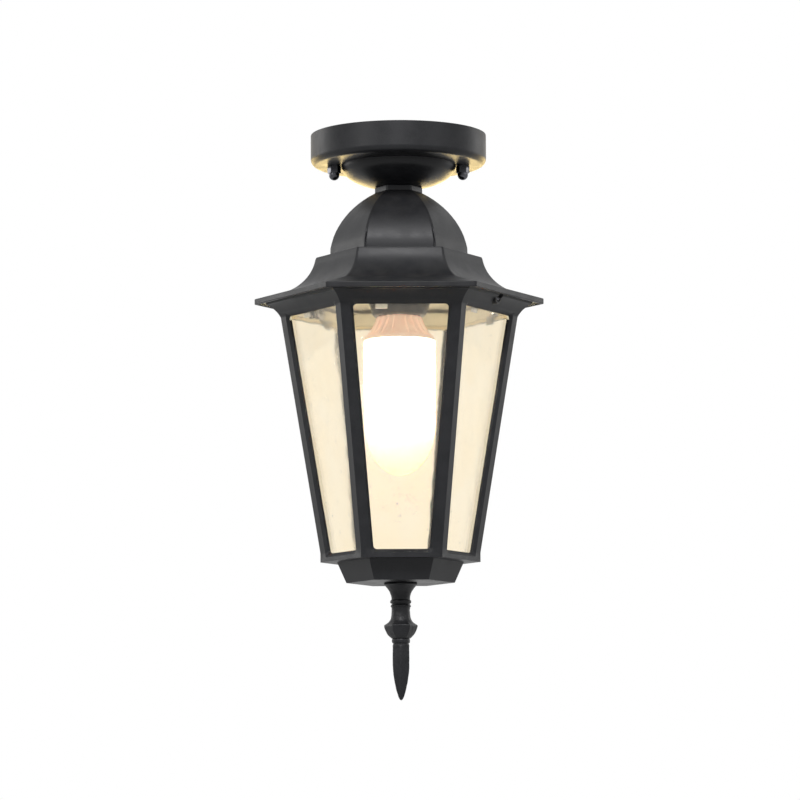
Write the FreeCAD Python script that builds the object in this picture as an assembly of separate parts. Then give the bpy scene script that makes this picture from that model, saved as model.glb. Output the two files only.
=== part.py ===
import FreeCAD
import Part
import math
import os

# Hexagonal porch ceiling lantern, in millimetres.
# The origin is the middle of the ceiling plane. +Z points up into the ceiling, and the lantern hangs below.
# One flat side of the hexagon looks along -Y, which is the front. Its corners lie on the X axis.
# Hexagon sizes named "corner" are measured from the axis to a corner; "flat" sizes from the axis to a side.

# ---- Driving sizes: canopy and ceiling bar ----
canopy_radius = 60.0
canopy_height = 20.8
canopy_wall = 1.8
canopy_edge_rounding = 4.5
canopy_dome_nut_gap = 0.2       # between the dome's edge and the corners of the cap nuts
canopy_dome_depth = 16.4
canopy_dome_cut = 15.2          # the dome is cut flat this far below the canopy's underside
canopy_floor = 2.2              # wall under the nipple nut

bar_length = 104.0
bar_width = 18.0
bar_thickness = 2.0
bar_wire_hole_radius = 5.5
bar_slot_spacing = 60.0
bar_slot_web = 3.5              # metal between a slot and its stud hole
bar_slot_radius = 2.5

stud_spacing = 88.0
stud_radius = 2.45
stud_length = 27.2
stud_nut_across_flats = 8.0
stud_nut_height = 4.0
cap_nut_hex_height = 5.2
cap_nut_height = 10.0
cap_nut_dome_radius = 3.6
cap_nut_depth = 7.6

ground_screw_offset = 14.0
ground_screw_radius = 1.95
ground_head_radius = 3.8
ground_head_height = 2.4
ground_washer_radius = 4.6
ground_washer_thickness = 0.8

block_offset = 14.0
block_length = 24.0
block_width = 12.0
block_base_height = 3.0
block_barrel_radius = 4.2
block_wire_hole_radius = 1.7
block_screw_radius = 1.9
block_fixing_radius = 1.45
block_fixing_head_height = 1.6
block_grub_slot = 0.8
block_grub_slot_depth = 1.3

# ---- Driving sizes: nipple and lampholder ----
nipple_radius = 4.95
nipple_bore_radius = 3.6
nipple_above_floor = 7.0        # what stands up inside the canopy dome
nipple_nut_across_flats = 14.0
nipple_nut_height = 3.0
lock_washer_thickness = 0.7
lock_washer_radius = 7.6
lock_washer_teeth = 12
lock_washer_tooth = 1.6
lock_washer_tooth_height = 1.2
roof_washer_radius = 9.5
roof_washer_thickness = 1.2

holder_drop = 26.5              # from the roof web's underside to the top of the lampholder
holder_boss_radius = 9.0
holder_boss_height = 4.0
holder_radius = 20.0
holder_cap_height = 22.0
holder_mouth_radius = 18.4
holder_wall = 2.2
holder_mouth_taper = 6.0        # the holder narrows to its mouth over this height
holder_mouth_rounding = 1.0
holder_ribs = 24
holder_rib_radius = 0.55
holder_rib_start = 3.0          # from the body's top to the top of the ribs
holder_screw_radius = 1.5
holder_screw_offset = 8.5
holder_screw_head_radius = 2.7
holder_screw_head_height = 1.7

screw_shell_bore_radius = 13.4
screw_shell_wall = 0.5
screw_shell_setback = 2.0       # from the holder's mouth to the end of the shell
carrier_height = 4.5
contact_strip_width = 5.0
contact_strip_length = 16.0
contact_strip_thickness = 0.6
contact_rise = 2.2
contact_tip_length = 3.0

# ---- Driving sizes: lamp ----
lamp_cap_radius = 13.0
lamp_cap_length = 23.0
lamp_cap_wall = 0.5
lamp_cap_shoulder = 2.0
lamp_cap_top_step = 2.5         # how much narrower the cap is above its shoulder
lamp_cap_shoulder_bulge = 0.4
lamp_insulator_height = 2.5
lamp_insulator_radius = 4.6
lamp_contact_radius = 3.2
lamp_contact_height = 1.3
lamp_contact_flat_radius = 2.2
lamp_contact_bulge = 0.3
lamp_housing_height = 16.5
lamp_housing_top_radius = 15.0
lamp_housing_rim_height = 2.5
lamp_housing_hollow = 1.2
lamp_housing_fins = 20
lamp_fin_thickness = 1.3
lamp_fin_depth = 1.9
lamp_radius = 24.0
lamp_straight_length = 57.0
lamp_dome_height = 34.6
lamp_cover_wall = 1.4
led_plate_radius = 21.5
led_plate_thickness = 1.6
led_count = 12
led_circle_radius = 15.0
led_size = 3.0
led_height = 0.8

# ---- Driving sizes: roof ----
roof_wall = 2.5
neck_corner = 16.5
neck_height = 3.9
roof_web = 3.1
roof_dome_height = 38.1
roof_dome_corner = 47.3
roof_dome_bulge = 5.2
roof_foot_height = 5.1
ledge_corner = 56.8
ledge_drop = 1.1
flare_start_drop = 1.7
flare_start_corner = 57.5
flare_height = 22.4
flare_corner = 74.8
flare_bulge = 3.0
eave_corner = 98.9
eave_drop = 6.2
fascia_height = 3.7
fascia_wall = 2.2
lug_width = 9.0
lug_thickness = 4.0

# ---- Driving sizes: cage ----
crown_corner = 91.5
crown_top_gap = 0.35            # seam between the crown and the underside of the eave
crown_side_height = 2.7
crown_side_corner = 90.4
cove_height = 9.0
cove_corner = 80.7
cove_hollow = 1.0
crown_wall = 2.6
crown_groove_below_side = 1.35  # how far the cored groove runs down behind the cove
cage_taper_height = 161.0
cage_base_corner = 54.2
cage_base_height = 6.2
cage_wall = 3.4
cage_ledge_thickness = 4.3
cage_ledge_corner = 33.0
stile_width = 8.4
window_bevel = 1.8
window_rounding = 2.5
window_top_drop = 0.3           # from the foot of the cove to the top of the window
bottom_rail_height = 5.2

pane_thickness = 2.5
pane_overlap = 2.6
pane_top_cover = 3.2
pane_gap = 0.05

clip_offset = 13.0
clip_width = 8.0
clip_thickness = 0.8
clip_reach = 5.4
clip_screw_radius = 1.45
clip_head_radius = 2.5
clip_head_height = 1.9
clip_above_screw = 0.6          # strip above the screw's head
clip_screw_drop = 0.5           # below the middle of the crown's bare inner wall

cage_screw_drop = 3.5           # from the crown's top to the middle of the cage screws
cage_screw_radius = 1.95
cage_screw_head_radius = 2.55
cage_screw_head_height = 2.0
cage_recess_radius = 2.85
cage_recess_depth = 3.4
cage_boss_radius = 4.4
cage_nut_across_flats = 7.0
cage_nut_height = 3.0

# ---- Driving sizes: bottom pan and finial ----
pan_top_corner = 42.9
pan_base_corner = 36.7
pan_height = 14.0
pan_wall = 2.4
pan_screw_circle = 31.0
pan_boss_radius = 3.4
pan_boss_height = 8.0
pan_screw_radius = 1.45
pan_screw_length = 9.0
pan_head_radius = 2.8
pan_head_height = 2.0

finial_stud_radius = 2.45
finial_stud_height = 9.6
finial_nut_across_flats = 8.0
finial_nut_height = 4.0
finial_washer_radius = 5.0
finial_washer_thickness = 1.0
finial_flange_radius = 11.4
finial_flange_edge = 1.6
finial_flare_height = 7.0
finial_flare_hollow = 1.1
finial_shoulder = 1.2           # small steps between the turned parts
finial_neck_radius = 6.5
finial_neck_length = 4.0
finial_bead_radius = 7.4
finial_bead_height = 2.6
finial_knob_drop = 22.6         # from the pan to the top of the knob
finial_knob_shoulder = 6.0
finial_knob_edge = 3.0
finial_knob_taper = 8.7
finial_knob_corner = 11.6
finial_knob_bulge = 0.9
finial_collar_radius = 6.1
finial_collar_height = 3.4
finial_spear_radius = 5.9
finial_spear_length = 38.7
finial_flutes = 6
finial_flute_radius = 2.6
finial_flute_circle = 7.3
# The spear's side from its collar to its tip: share of its radius, share of its length.
SPEAR_SIDE = [(0.95, 0.24), (1.0, 0.395), (0.88, 0.63), (0.58, 0.83), (0.17, 0.974), (0, 1)]

# ---- Named clearances ----
thread_clearance = 0.05
screw_clearance = 0.3
moving_gap = 0.4
contact_gap = 0.3
lug_clearance = 0.4
lamp_seat_gap = 0.8             # between the lampholder's mouth and the lamp's housing

# ---- Levels worked out from the driving sizes (all negative: below the ceiling) ----
UP = FreeCAD.Vector(0, 0, 1)
OUT = FreeCAD.Vector(1, 0, 0)
CENTRE = FreeCAD.Vector(0, 0, 0)
FLAT_SHARE = math.cos(math.radians(30))
FACE_ANGLES = [30 + 60 * side for side in range(6)]
SCREW_FACES = [330, 150]
spare = 1.0                     # how far a cutting tool stands past what it cuts


def flat(corner):
    """Distance from the axis to a side of a hexagon with this corner distance."""
    return corner * FLAT_SHARE


canopy_dome_radius = stud_spacing / 2 - stud_nut_across_flats / 2 / FLAT_SHARE - canopy_dome_nut_gap
bar_slot_inner_room = stud_spacing / 2 - stud_radius - thread_clearance - bar_slot_web
bar_slot_length = 2 * (bar_slot_inner_room - bar_slot_spacing / 2)
canopy_underside = -canopy_height
neck_top = canopy_underside - canopy_dome_cut
roof_dome_top = neck_top - neck_height
roof_foot_top = roof_dome_top - roof_dome_height
ledge_top = roof_foot_top - roof_foot_height
ledge_edge = ledge_top - ledge_drop
flare_end = ledge_edge - flare_height
eave_top = flare_end - eave_drop
eave_bottom = eave_top - fascia_height
web_underside = neck_top - neck_height - roof_web

eave_slope = eave_drop / (flat(eave_corner) - flat(flare_corner))
eave_underside_at_flare = flare_end - roof_wall


def eave_underside(reach):
    """Height of the roof's sloping underside at a distance from the axis to the side."""
    return eave_underside_at_flare - (reach - flat(flare_corner)) * eave_slope


crown_top = eave_underside(flat(crown_corner)) - crown_top_gap
crown_side_bottom = crown_top - crown_side_height
cove_foot = crown_side_bottom - cove_height
cage_taper_end = cove_foot - cage_taper_height
cage_bottom = cage_taper_end - cage_base_height
window_top = cove_foot - window_top_drop
window_bottom = cage_bottom + bottom_rail_height
cage_ledge_top = cage_bottom + cage_ledge_thickness
cage_tilt = math.atan((flat(cove_corner) - flat(cage_base_corner)) / cage_taper_height)
crown_bore = flat(cove_corner) - crown_wall

pane_top = window_top + pane_top_cover
pane_bottom = cage_ledge_top + pane_gap
cage_screw_level = crown_top - cage_screw_drop
lug_outer = crown_bore - lug_clearance
lug_inner = lug_outer - lug_thickness
lug_bottom = pane_top + moving_gap * 2

pan_bottom = cage_bottom - pan_height
pan_floor_top = pan_bottom + pan_wall
holder_top = web_underside - holder_drop
holder_body_top = holder_top - holder_cap_height
screw_shell_radius = screw_shell_bore_radius + screw_shell_wall
carrier_bottom = holder_body_top - carrier_height
contact_tip = carrier_bottom - contact_rise
lamp_top = contact_tip - contact_gap
lamp_cap_top = lamp_top - lamp_contact_height - lamp_insulator_height
lamp_cap_bottom = lamp_cap_top - lamp_cap_length
holder_mouth = lamp_cap_bottom + lamp_seat_gap
lamp_housing_bottom = lamp_cap_bottom - lamp_housing_height
lamp_straight_end = lamp_housing_bottom - lamp_straight_length
lamp_bottom = lamp_straight_end - lamp_dome_height


# ---- Shape helpers ----
def outline(start, *steps):
    """Edges in the X-Z plane.

    A step is a point (x, z), an arc (x, z, bulge) that bows left of its travel, or a list of points for a
    smooth curve through them.
    """
    edges = []
    here = FreeCAD.Vector(start[0], 0, start[1])
    for step in steps:
        if isinstance(step, list):
            through = [here] + [FreeCAD.Vector(x, 0, z) for x, z in step]
            curve = Part.BSplineCurve()
            curve.interpolate(through)
            edges.append(curve.toShape())
            here = through[-1]
            continue
        there = FreeCAD.Vector(step[0], 0, step[1])
        if len(step) == 3:
            along = there - here
            left = FreeCAD.Vector(-along.z, 0, along.x)
            middle = (here + there) * 0.5 + left * (step[2] / left.Length)
            edges.append(Part.Arc(here, middle, there).toShape())
        else:
            edges.append(Part.LineSegment(here, there).toShape())
        here = there
    return edges


def revolved(start, *steps):
    """Solid of revolution about Z of a closed outline; the last edge back to the start is added."""
    edges = outline(start, *steps, start)
    return Part.Face(Part.Wire(edges)).revolve(CENTRE, UP, 360)


def hexagonal(start, *steps):
    """Solid with a hexagonal plan: three prisms of one side outline, laid across each other.

    The outline runs from the axis, out along the side and back to the axis.
    """
    half = outline(start, *steps)
    other_half = [edge.mirror(CENTRE, OUT) for edge in half]
    section = Part.Face(Part.Wire(Part.sortEdges(half + other_half)[0]))
    reach = 2 * section.BoundBox.XMax
    prism = section.extrude(FreeCAD.Vector(0, 2 * reach, 0))
    prism.translate(FreeCAD.Vector(0, -reach, 0))
    solid = turned(prism, FACE_ANGLES[0])
    for angle in FACE_ANGLES[1:3]:
        solid = solid.common(turned(prism, angle))
    return solid.removeSplitter()


def turned(shape, angle):
    """Copy of a shape turned about the lantern's axis."""
    copy = shape.copy()
    copy.rotate(CENTRE, UP, angle)
    return copy


def all_round(shape, angles):
    """One compound with a copy of the shape at each angle."""
    return Part.makeCompound([turned(shape, angle) for angle in angles])


def fused(shapes):
    """One solid from shapes that touch or overlap."""
    first = shapes[0]
    return first.fuse(list(shapes[1:])).removeSplitter()


def rod(radius, top, bottom, x=0.0, y=0.0):
    """Upright cylinder between two levels."""
    return Part.makeCylinder(radius, top - bottom, FreeCAD.Vector(x, y, bottom))


def tube(radius, bore, top, bottom, x=0.0, y=0.0):
    """Upright ring between two levels."""
    return rod(radius, top, bottom, x, y).cut(rod(bore, top + spare, bottom - spare, x, y))


def outward_rod(radius, start, end, level, side_offset=0.0):
    """Cylinder along +X between two distances from the axis."""
    return Part.makeCylinder(radius, end - start, FreeCAD.Vector(start, side_offset, level), OUT)


def block(x_size, y_size, top, bottom, x=0.0, y=0.0):
    """Upright box between two levels, centred on x and y."""
    corner = FreeCAD.Vector(x - x_size / 2, y - y_size / 2, bottom)
    return Part.makeBox(x_size, y_size, top - bottom, corner)


def hex_bar(across_flats, top, bottom, x=0.0, y=0.0):
    """Upright six-sided bar for nuts."""
    corner = across_flats / 2 / FLAT_SHARE
    points = []
    for side in range(7):
        angle = math.radians(60 * side)
        points.append(FreeCAD.Vector(x + corner * math.cos(angle), y + corner * math.sin(angle), bottom))
    return Part.Face(Part.makePolygon(points)).extrude(UP * (top - bottom))


def chamfered_nut(across_flats, bore, top, bottom, x=0.0, y=0.0):
    """Hexagon nut with its corners turned down to a cone at both ends."""
    corner = across_flats / 2 / FLAT_SHARE
    height = top - bottom
    cut_back = corner - across_flats / 2
    turned_blank = revolved((0, top), (across_flats / 2, top), (corner, top - cut_back / 2),
                            (corner, bottom + cut_back / 2), (across_flats / 2, bottom), (0, bottom))
    turned_blank.translate(FreeCAD.Vector(x, y, 0))
    nut = hex_bar(across_flats, bottom + height, bottom, x, y).common(turned_blank)
    return nut.cut(rod(bore, top + spare, bottom - spare, x, y))


def dome_headed_screw(shank_radius, head_radius, head_height, length):
    """Screw along -Z with the underside of its domed head at the origin and a cross recess on top."""
    head = revolved((0, head_height), (head_radius, 0, 0.28 * head_radius), (0, 0))
    shank = rod(shank_radius, 0, -length)
    arm = 0.55 * head_radius
    slot_width = 0.3 * head_radius
    recess = block(2 * arm, slot_width, head_height + spare, 0.45 * head_height)
    cross = recess.fuse(turned(recess, 90))
    return head.fuse(shank).removeSplitter().cut(cross)


def elliptic_dome(radius, depth, level, cut_level):
    """Lower half of an oblate dome, from its base level down to where it is cut flat."""
    sphere = Part.makeSphere(radius, CENTRE, UP, -90, 0)
    squash = FreeCAD.Matrix()
    squash.scale(1, 1, depth / radius)
    dome = sphere.transformGeometry(squash)
    dome.translate(FreeCAD.Vector(0, 0, level))
    return dome.common(rod(radius + spare, level + spare, cut_level))


# ---- Ceiling bar and canopy ----
def make_crossbar():
    """Flat steel strap with round ends, screwed to the ceiling box through its two slots."""
    ends = bar_length / 2 - bar_width / 2
    strap = block(2 * ends, bar_width, 0, -bar_thickness)
    strap = fused([strap, rod(bar_width / 2, 0, -bar_thickness, ends),
                   rod(bar_width / 2, 0, -bar_thickness, -ends)])
    below = -bar_thickness - spare
    holes = [rod(bar_wire_hole_radius, spare, below),
             rod(ground_screw_radius + thread_clearance, spare, below, ground_screw_offset),
             rod(block_fixing_radius + thread_clearance, spare, below, -block_offset)]
    slot_run = bar_slot_length - 2 * bar_slot_radius
    for side in (-1, 1):
        middle = side * bar_slot_spacing / 2
        slot = block(slot_run, 2 * bar_slot_radius, spare, below, middle)
        slot_ends = [rod(bar_slot_radius, spare, below, middle + end * slot_run / 2) for end in (-1, 1)]
        holes.append(slot.fuse(slot_ends))
        stud_x = side * stud_spacing / 2
        holes.append(rod(stud_radius + thread_clearance, spare, below, stud_x))
    return strap.cut(holes)


def make_canopy_studs():
    """Two threaded studs that hang the canopy from the bar."""
    top = -contact_gap
    return Part.makeCompound([rod(stud_radius, top, top - stud_length, side * stud_spacing / 2)
                              for side in (-1, 1)])


def make_stud_nuts():
    """Nuts that lock the studs against the bar."""
    top = -bar_thickness
    return Part.makeCompound([chamfered_nut(stud_nut_across_flats, stud_radius + thread_clearance, top,
                                            top - stud_nut_height, side * stud_spacing / 2)
                              for side in (-1, 1)])


def make_cap_nuts():
    """Domed cap nuts under the canopy."""
    nuts = []
    hex_bottom = canopy_underside - cap_nut_hex_height
    dome_top = hex_bottom - (cap_nut_height - cap_nut_hex_height - cap_nut_dome_radius)
    bore_end = canopy_underside - cap_nut_depth
    for side in (-1, 1):
        x = side * stud_spacing / 2
        hexagon = chamfered_nut(stud_nut_across_flats, stud_radius + thread_clearance, canopy_underside,
                                hex_bottom, x)
        hexagon = fused([hexagon, rod(stud_radius + spare, canopy_underside, hex_bottom, x)])
        dome = Part.makeSphere(cap_nut_dome_radius, FreeCAD.Vector(x, 0, dome_top), UP, -90, 0)
        nut = fused([hexagon, rod(cap_nut_dome_radius, hex_bottom, dome_top, x), dome])
        bore = rod(stud_radius + thread_clearance, canopy_underside + spare, bore_end, x)
        nuts.append(nut.cut(bore))
    return Part.makeCompound(nuts)


def make_ground_screw():
    """Earth screw under the bar."""
    seat = -bar_thickness - ground_washer_thickness
    length = -seat - contact_gap
    screw = dome_headed_screw(ground_screw_radius, ground_head_radius, ground_head_height, length)
    screw.rotate(CENTRE, OUT, 180)
    screw.translate(FreeCAD.Vector(ground_screw_offset, 0, seat))
    return screw


def make_ground_washer():
    """Cup washer under the earth screw's head."""
    return tube(ground_washer_radius, ground_screw_radius + thread_clearance, -bar_thickness,
                -bar_thickness - ground_washer_thickness, ground_screw_offset)


def block_pole_offsets():
    """Where the terminal block's two poles lie along Y."""
    pole = block_length / 2 - block_barrel_radius
    return [-pole, pole]


def block_barrel_level():
    """Level of the middle of the terminal block's barrels."""
    return -bar_thickness - block_base_height - block_barrel_radius / 2


def make_terminal_block():
    """Two-pole terminal block under the bar; the barrels run along X."""
    end = -block_offset - block_width / 2
    other_end = end + block_width
    level = block_barrel_level()
    below = level - 2 * block_barrel_radius
    base_bottom = -bar_thickness - block_base_height
    parts = [block(block_width, block_length, -bar_thickness, base_bottom, -block_offset)]
    bores = [rod(block_fixing_radius + screw_clearance, 0, below, -block_offset)]
    for y in block_pole_offsets():
        parts.append(outward_rod(block_barrel_radius, end, other_end, level, y))
        bores.append(outward_rod(block_wire_hole_radius, end - spare, other_end + spare, level, y))
        bores.append(rod(block_screw_radius + thread_clearance, level, below, -block_offset, y))
    in_bar = block(2 * block_width, 2 * block_length, block_barrel_radius, -bar_thickness, -block_offset)
    return fused(parts).cut(bores + [in_bar])


def make_terminal_screws():
    """Grub screws of the terminal block and the screw that fixes it to the bar."""
    level = block_barrel_level()
    grub_bottom = level - block_barrel_radius
    screws = []
    for y in block_pole_offsets():
        grub = rod(block_screw_radius, level, grub_bottom, -block_offset, y)
        slot = block(3 * block_screw_radius, block_grub_slot, grub_bottom + block_grub_slot_depth,
                     grub_bottom - spare, -block_offset, y)
        screws.append(grub.cut(slot))
    seat = -bar_thickness - block_base_height
    fixing = dome_headed_screw(block_fixing_radius, 2 * block_fixing_radius, block_fixing_head_height,
                               -seat - contact_gap)
    fixing.rotate(CENTRE, OUT, 180)
    fixing.translate(FreeCAD.Vector(-block_offset, 0, seat))
    return Part.makeCompound(screws + [fixing])


def make_canopy():
    """Cast ceiling cup with a rounded lower edge and a shallow dome under its middle."""
    rounding_bulge = canopy_edge_rounding * (1 - math.cos(math.radians(45)))
    outer = revolved((0, 0), (canopy_radius, 0), (canopy_radius, canopy_underside + canopy_edge_rounding),
                     (canopy_radius - canopy_edge_rounding, canopy_underside, rounding_bulge),
                     (0, canopy_underside))
    inner_radius = canopy_radius - canopy_wall
    inner_rounding = canopy_edge_rounding - canopy_wall
    inner_floor = canopy_underside + canopy_wall
    inner_bulge = inner_rounding * (1 - math.cos(math.radians(45)))
    inner = revolved((0, spare), (inner_radius, spare), (inner_radius, inner_floor + inner_rounding),
                     (inner_radius - inner_rounding, inner_floor, inner_bulge), (0, inner_floor))
    dome = elliptic_dome(canopy_dome_radius, canopy_dome_depth, canopy_underside, neck_top)
    dome_cavity = elliptic_dome(canopy_dome_radius - canopy_wall, canopy_dome_depth - canopy_wall / 2,
                                inner_floor, neck_top + canopy_floor)
    cup = fused([outer, dome])
    holes = [inner, dome_cavity, rod(nipple_radius + screw_clearance, 0, neck_top - spare)]
    for side in (-1, 1):
        stud_x = side * stud_spacing / 2
        holes.append(rod(stud_radius + screw_clearance, 0, canopy_underside - spare, stud_x))
    return cup.cut(holes)


# ---- Nipple, its nuts and the lampholder ----
def make_nipple():
    """Hollow threaded tube that ties the canopy, the roof and the lampholder together."""
    top = neck_top + canopy_floor + nipple_above_floor
    bottom = holder_top - holder_boss_height
    return tube(nipple_radius, nipple_bore_radius, top, bottom)


def make_lock_washer():
    """Toothed lock washer on the canopy dome's floor."""
    bottom = neck_top + canopy_floor
    top = bottom + lock_washer_thickness
    ring_radius = lock_washer_radius - lock_washer_tooth_height
    ring = tube(ring_radius, nipple_radius + thread_clearance, top, bottom)
    tooth = block(2 * lock_washer_tooth_height, lock_washer_tooth, top, bottom, ring_radius)
    step = 360.0 / lock_washer_teeth
    return fused([ring] + [turned(tooth, step * number) for number in range(lock_washer_teeth)])


def make_nipple_nut():
    """Nut inside the canopy dome."""
    bottom = neck_top + canopy_floor + lock_washer_thickness
    top = bottom + nipple_nut_height
    return chamfered_nut(nipple_nut_across_flats, nipple_radius + thread_clearance, top, bottom)


def make_roof_washer():
    """Flat washer under the roof's web."""
    return tube(roof_washer_radius, nipple_radius + thread_clearance, web_underside,
                web_underside - roof_washer_thickness)


def make_roof_nut():
    """Nut that pulls the roof up against the canopy."""
    top = web_underside - roof_washer_thickness
    bottom = top - nipple_nut_height
    return chamfered_nut(nipple_nut_across_flats, nipple_radius + thread_clearance, top, bottom)


def make_holder_nut():
    """Nut that locks the lampholder on the nipple."""
    top = holder_top + nipple_nut_height
    return chamfered_nut(nipple_nut_across_flats, nipple_radius + thread_clearance, top, holder_top)


def make_lampholder_cap():
    """Domed upper half of the lampholder, with the threaded entry for the nipple."""
    shoulder = holder_top - holder_boss_height
    shoulder_bulge = 0.25 * (holder_radius - holder_boss_radius)
    skirt_top = shoulder - (holder_radius - holder_boss_radius)
    outer = revolved((0, holder_top), (holder_boss_radius, holder_top), (holder_boss_radius, shoulder),
                     (holder_radius, skirt_top, shoulder_bulge), (holder_radius, holder_body_top),
                     (0, holder_body_top))
    inner = revolved((0, shoulder), (holder_boss_radius - holder_wall, shoulder),
                     (holder_radius - holder_wall, skirt_top - holder_wall / 2, shoulder_bulge),
                     (holder_radius - holder_wall, holder_body_top - spare), (0, holder_body_top - spare))
    entry = rod(nipple_radius + thread_clearance, holder_top + spare, shoulder - spare)
    return outer.cut([inner, entry])


def make_lampholder_body():
    """Lower half of the lampholder: ribbed grip outside, bore for the screw shell inside."""
    grip_end = holder_mouth + holder_mouth_taper
    outer = revolved((0, holder_body_top), (holder_radius, holder_body_top), (holder_radius, grip_end),
                     (holder_mouth_radius, holder_mouth + holder_mouth_rounding),
                     (holder_mouth_radius - holder_mouth_rounding, holder_mouth), (0, holder_mouth))
    rib = rod(holder_rib_radius, holder_body_top - holder_rib_start, grip_end + spare, holder_radius)
    ribs = [turned(rib, 360.0 / holder_ribs * number) for number in range(holder_ribs)]
    body = outer.fuse(ribs).removeSplitter()
    bore = rod(screw_shell_radius + thread_clearance, holder_body_top + spare, holder_mouth - spare)
    return body.cut(bore)


def make_contact_carrier():
    """Ceramic disc that carries the centre contact inside the lampholder."""
    disc = rod(screw_shell_radius, holder_body_top, carrier_bottom)
    holes = []
    for y in (-holder_screw_offset, holder_screw_offset):
        holes.append(rod(holder_screw_radius, holder_body_top + spare, carrier_bottom - spare, 0, y))
    return disc.cut(holes)


def make_holder_screws():
    """Two terminal screws on top of the contact carrier."""
    screws = []
    for side in (-1, 1):
        screw = dome_headed_screw(holder_screw_radius - thread_clearance, holder_screw_head_radius,
                                  holder_screw_head_height, carrier_height - contact_gap)
        screw.translate(FreeCAD.Vector(0, side * holder_screw_offset, holder_body_top))
        screws.append(screw)
    return Part.makeCompound(screws)


def make_screw_shell():
    """Thin brass sleeve that takes the lamp's screw cap."""
    end = holder_mouth + screw_shell_setback
    return tube(screw_shell_radius, screw_shell_bore_radius, carrier_bottom, end)


def make_centre_contact():
    """Bowed brass strip under the carrier that presses on the lamp's tip."""
    half = contact_strip_length / 2
    half_tip = contact_tip_length / 2
    underside = carrier_bottom - contact_strip_thickness
    edges = outline((-half, carrier_bottom), (half, carrier_bottom), (half, underside),
                    (half / 2, underside), (half_tip, contact_tip), (-half_tip, contact_tip),
                    (-half / 2, underside), (-half, underside), (-half, carrier_bottom))
    strip = Part.Face(Part.Wire(edges)).extrude(FreeCAD.Vector(0, contact_strip_width, 0))
    strip.translate(FreeCAD.Vector(0, -contact_strip_width / 2, 0))
    return strip


# ---- Lamp ----
def make_lamp_contact():
    """Solder button at the tip of the lamp's cap."""
    return revolved((0, lamp_top), (lamp_contact_flat_radius, lamp_top),
                    (lamp_contact_radius, lamp_top - lamp_contact_height, lamp_contact_bulge),
                    (0, lamp_top - lamp_contact_height))


def make_lamp_insulator():
    """Glass cone between the tip and the screw cap."""
    top = lamp_top - lamp_contact_height
    base_radius = lamp_cap_radius - lamp_cap_top_step
    return revolved((0, top), (lamp_insulator_radius, top), (base_radius, lamp_cap_top), (0, lamp_cap_top))


def make_lamp_cap():
    """Screw cap of the lamp, closed at the top by its insulator and open below."""
    shoulder = lamp_cap_top - lamp_cap_shoulder
    top_radius = lamp_cap_radius - lamp_cap_top_step
    shell = revolved((0, lamp_cap_top), (top_radius, lamp_cap_top),
                     (lamp_cap_radius, shoulder, lamp_cap_shoulder_bulge),
                     (lamp_cap_radius, lamp_cap_bottom), (0, lamp_cap_bottom))
    bore_radius = lamp_cap_radius - lamp_cap_wall
    bore_top = lamp_cap_top - lamp_cap_wall
    inside = revolved((0, bore_top), (top_radius - lamp_cap_wall, bore_top),
                      (bore_radius, shoulder - lamp_cap_wall), (bore_radius, lamp_cap_bottom - spare),
                      (0, lamp_cap_bottom - spare))
    return shell.cut(inside)


def make_lamp_housing():
    """Finned collar between the screw cap and the opal cover."""
    rim_top = lamp_housing_bottom + lamp_housing_rim_height
    full = revolved((0, lamp_cap_bottom), (lamp_housing_top_radius, lamp_cap_bottom),
                    (lamp_radius, rim_top, -lamp_housing_hollow), (lamp_radius, lamp_housing_bottom),
                    (0, lamp_housing_bottom))
    core = revolved((0, lamp_cap_bottom), (lamp_housing_top_radius - lamp_fin_depth, lamp_cap_bottom),
                    (lamp_radius - lamp_fin_depth, rim_top, -lamp_housing_hollow), (lamp_radius, rim_top),
                    (lamp_radius, lamp_housing_bottom), (0, lamp_housing_bottom))
    fin_inner = lamp_housing_top_radius - 2 * lamp_fin_depth
    fin_blank = block(lamp_radius, lamp_fin_thickness, lamp_cap_bottom, lamp_housing_bottom,
                      fin_inner + lamp_radius / 2)
    fin = fin_blank.common(full)
    step = 360.0 / lamp_housing_fins
    fins = [turned(fin, step * number) for number in range(lamp_housing_fins)]
    return core.fuse(fins).removeSplitter()


def make_led_plate():
    """Round aluminium board with a ring of light-emitting chips, inside the cover."""
    plate_bottom = lamp_housing_bottom - led_plate_thickness
    plate = rod(led_plate_radius, lamp_housing_bottom, plate_bottom)
    chip = block(led_size, led_size, plate_bottom, plate_bottom - led_height, led_circle_radius)
    chips = [turned(chip, 360.0 / led_count * number) for number in range(led_count)]
    return plate.fuse(chips).removeSplitter()


def make_lamp_cover():
    """Opal cover of the lamp: a straight column with a round end, hollow and open at the top."""
    inner_radius = lamp_radius - lamp_cover_wall
    inner_bottom = lamp_bottom + lamp_cover_wall
    inner_dome_height = lamp_dome_height - lamp_cover_wall
    outer = fused([rod(lamp_radius, lamp_housing_bottom, lamp_straight_end),
                   elliptic_dome(lamp_radius, lamp_dome_height, lamp_straight_end, lamp_bottom)])
    inner = fused([rod(inner_radius, lamp_housing_bottom + spare, lamp_straight_end),
                   elliptic_dome(inner_radius, inner_dome_height, lamp_straight_end, inner_bottom)])
    return outer.cut(inner)


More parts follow.
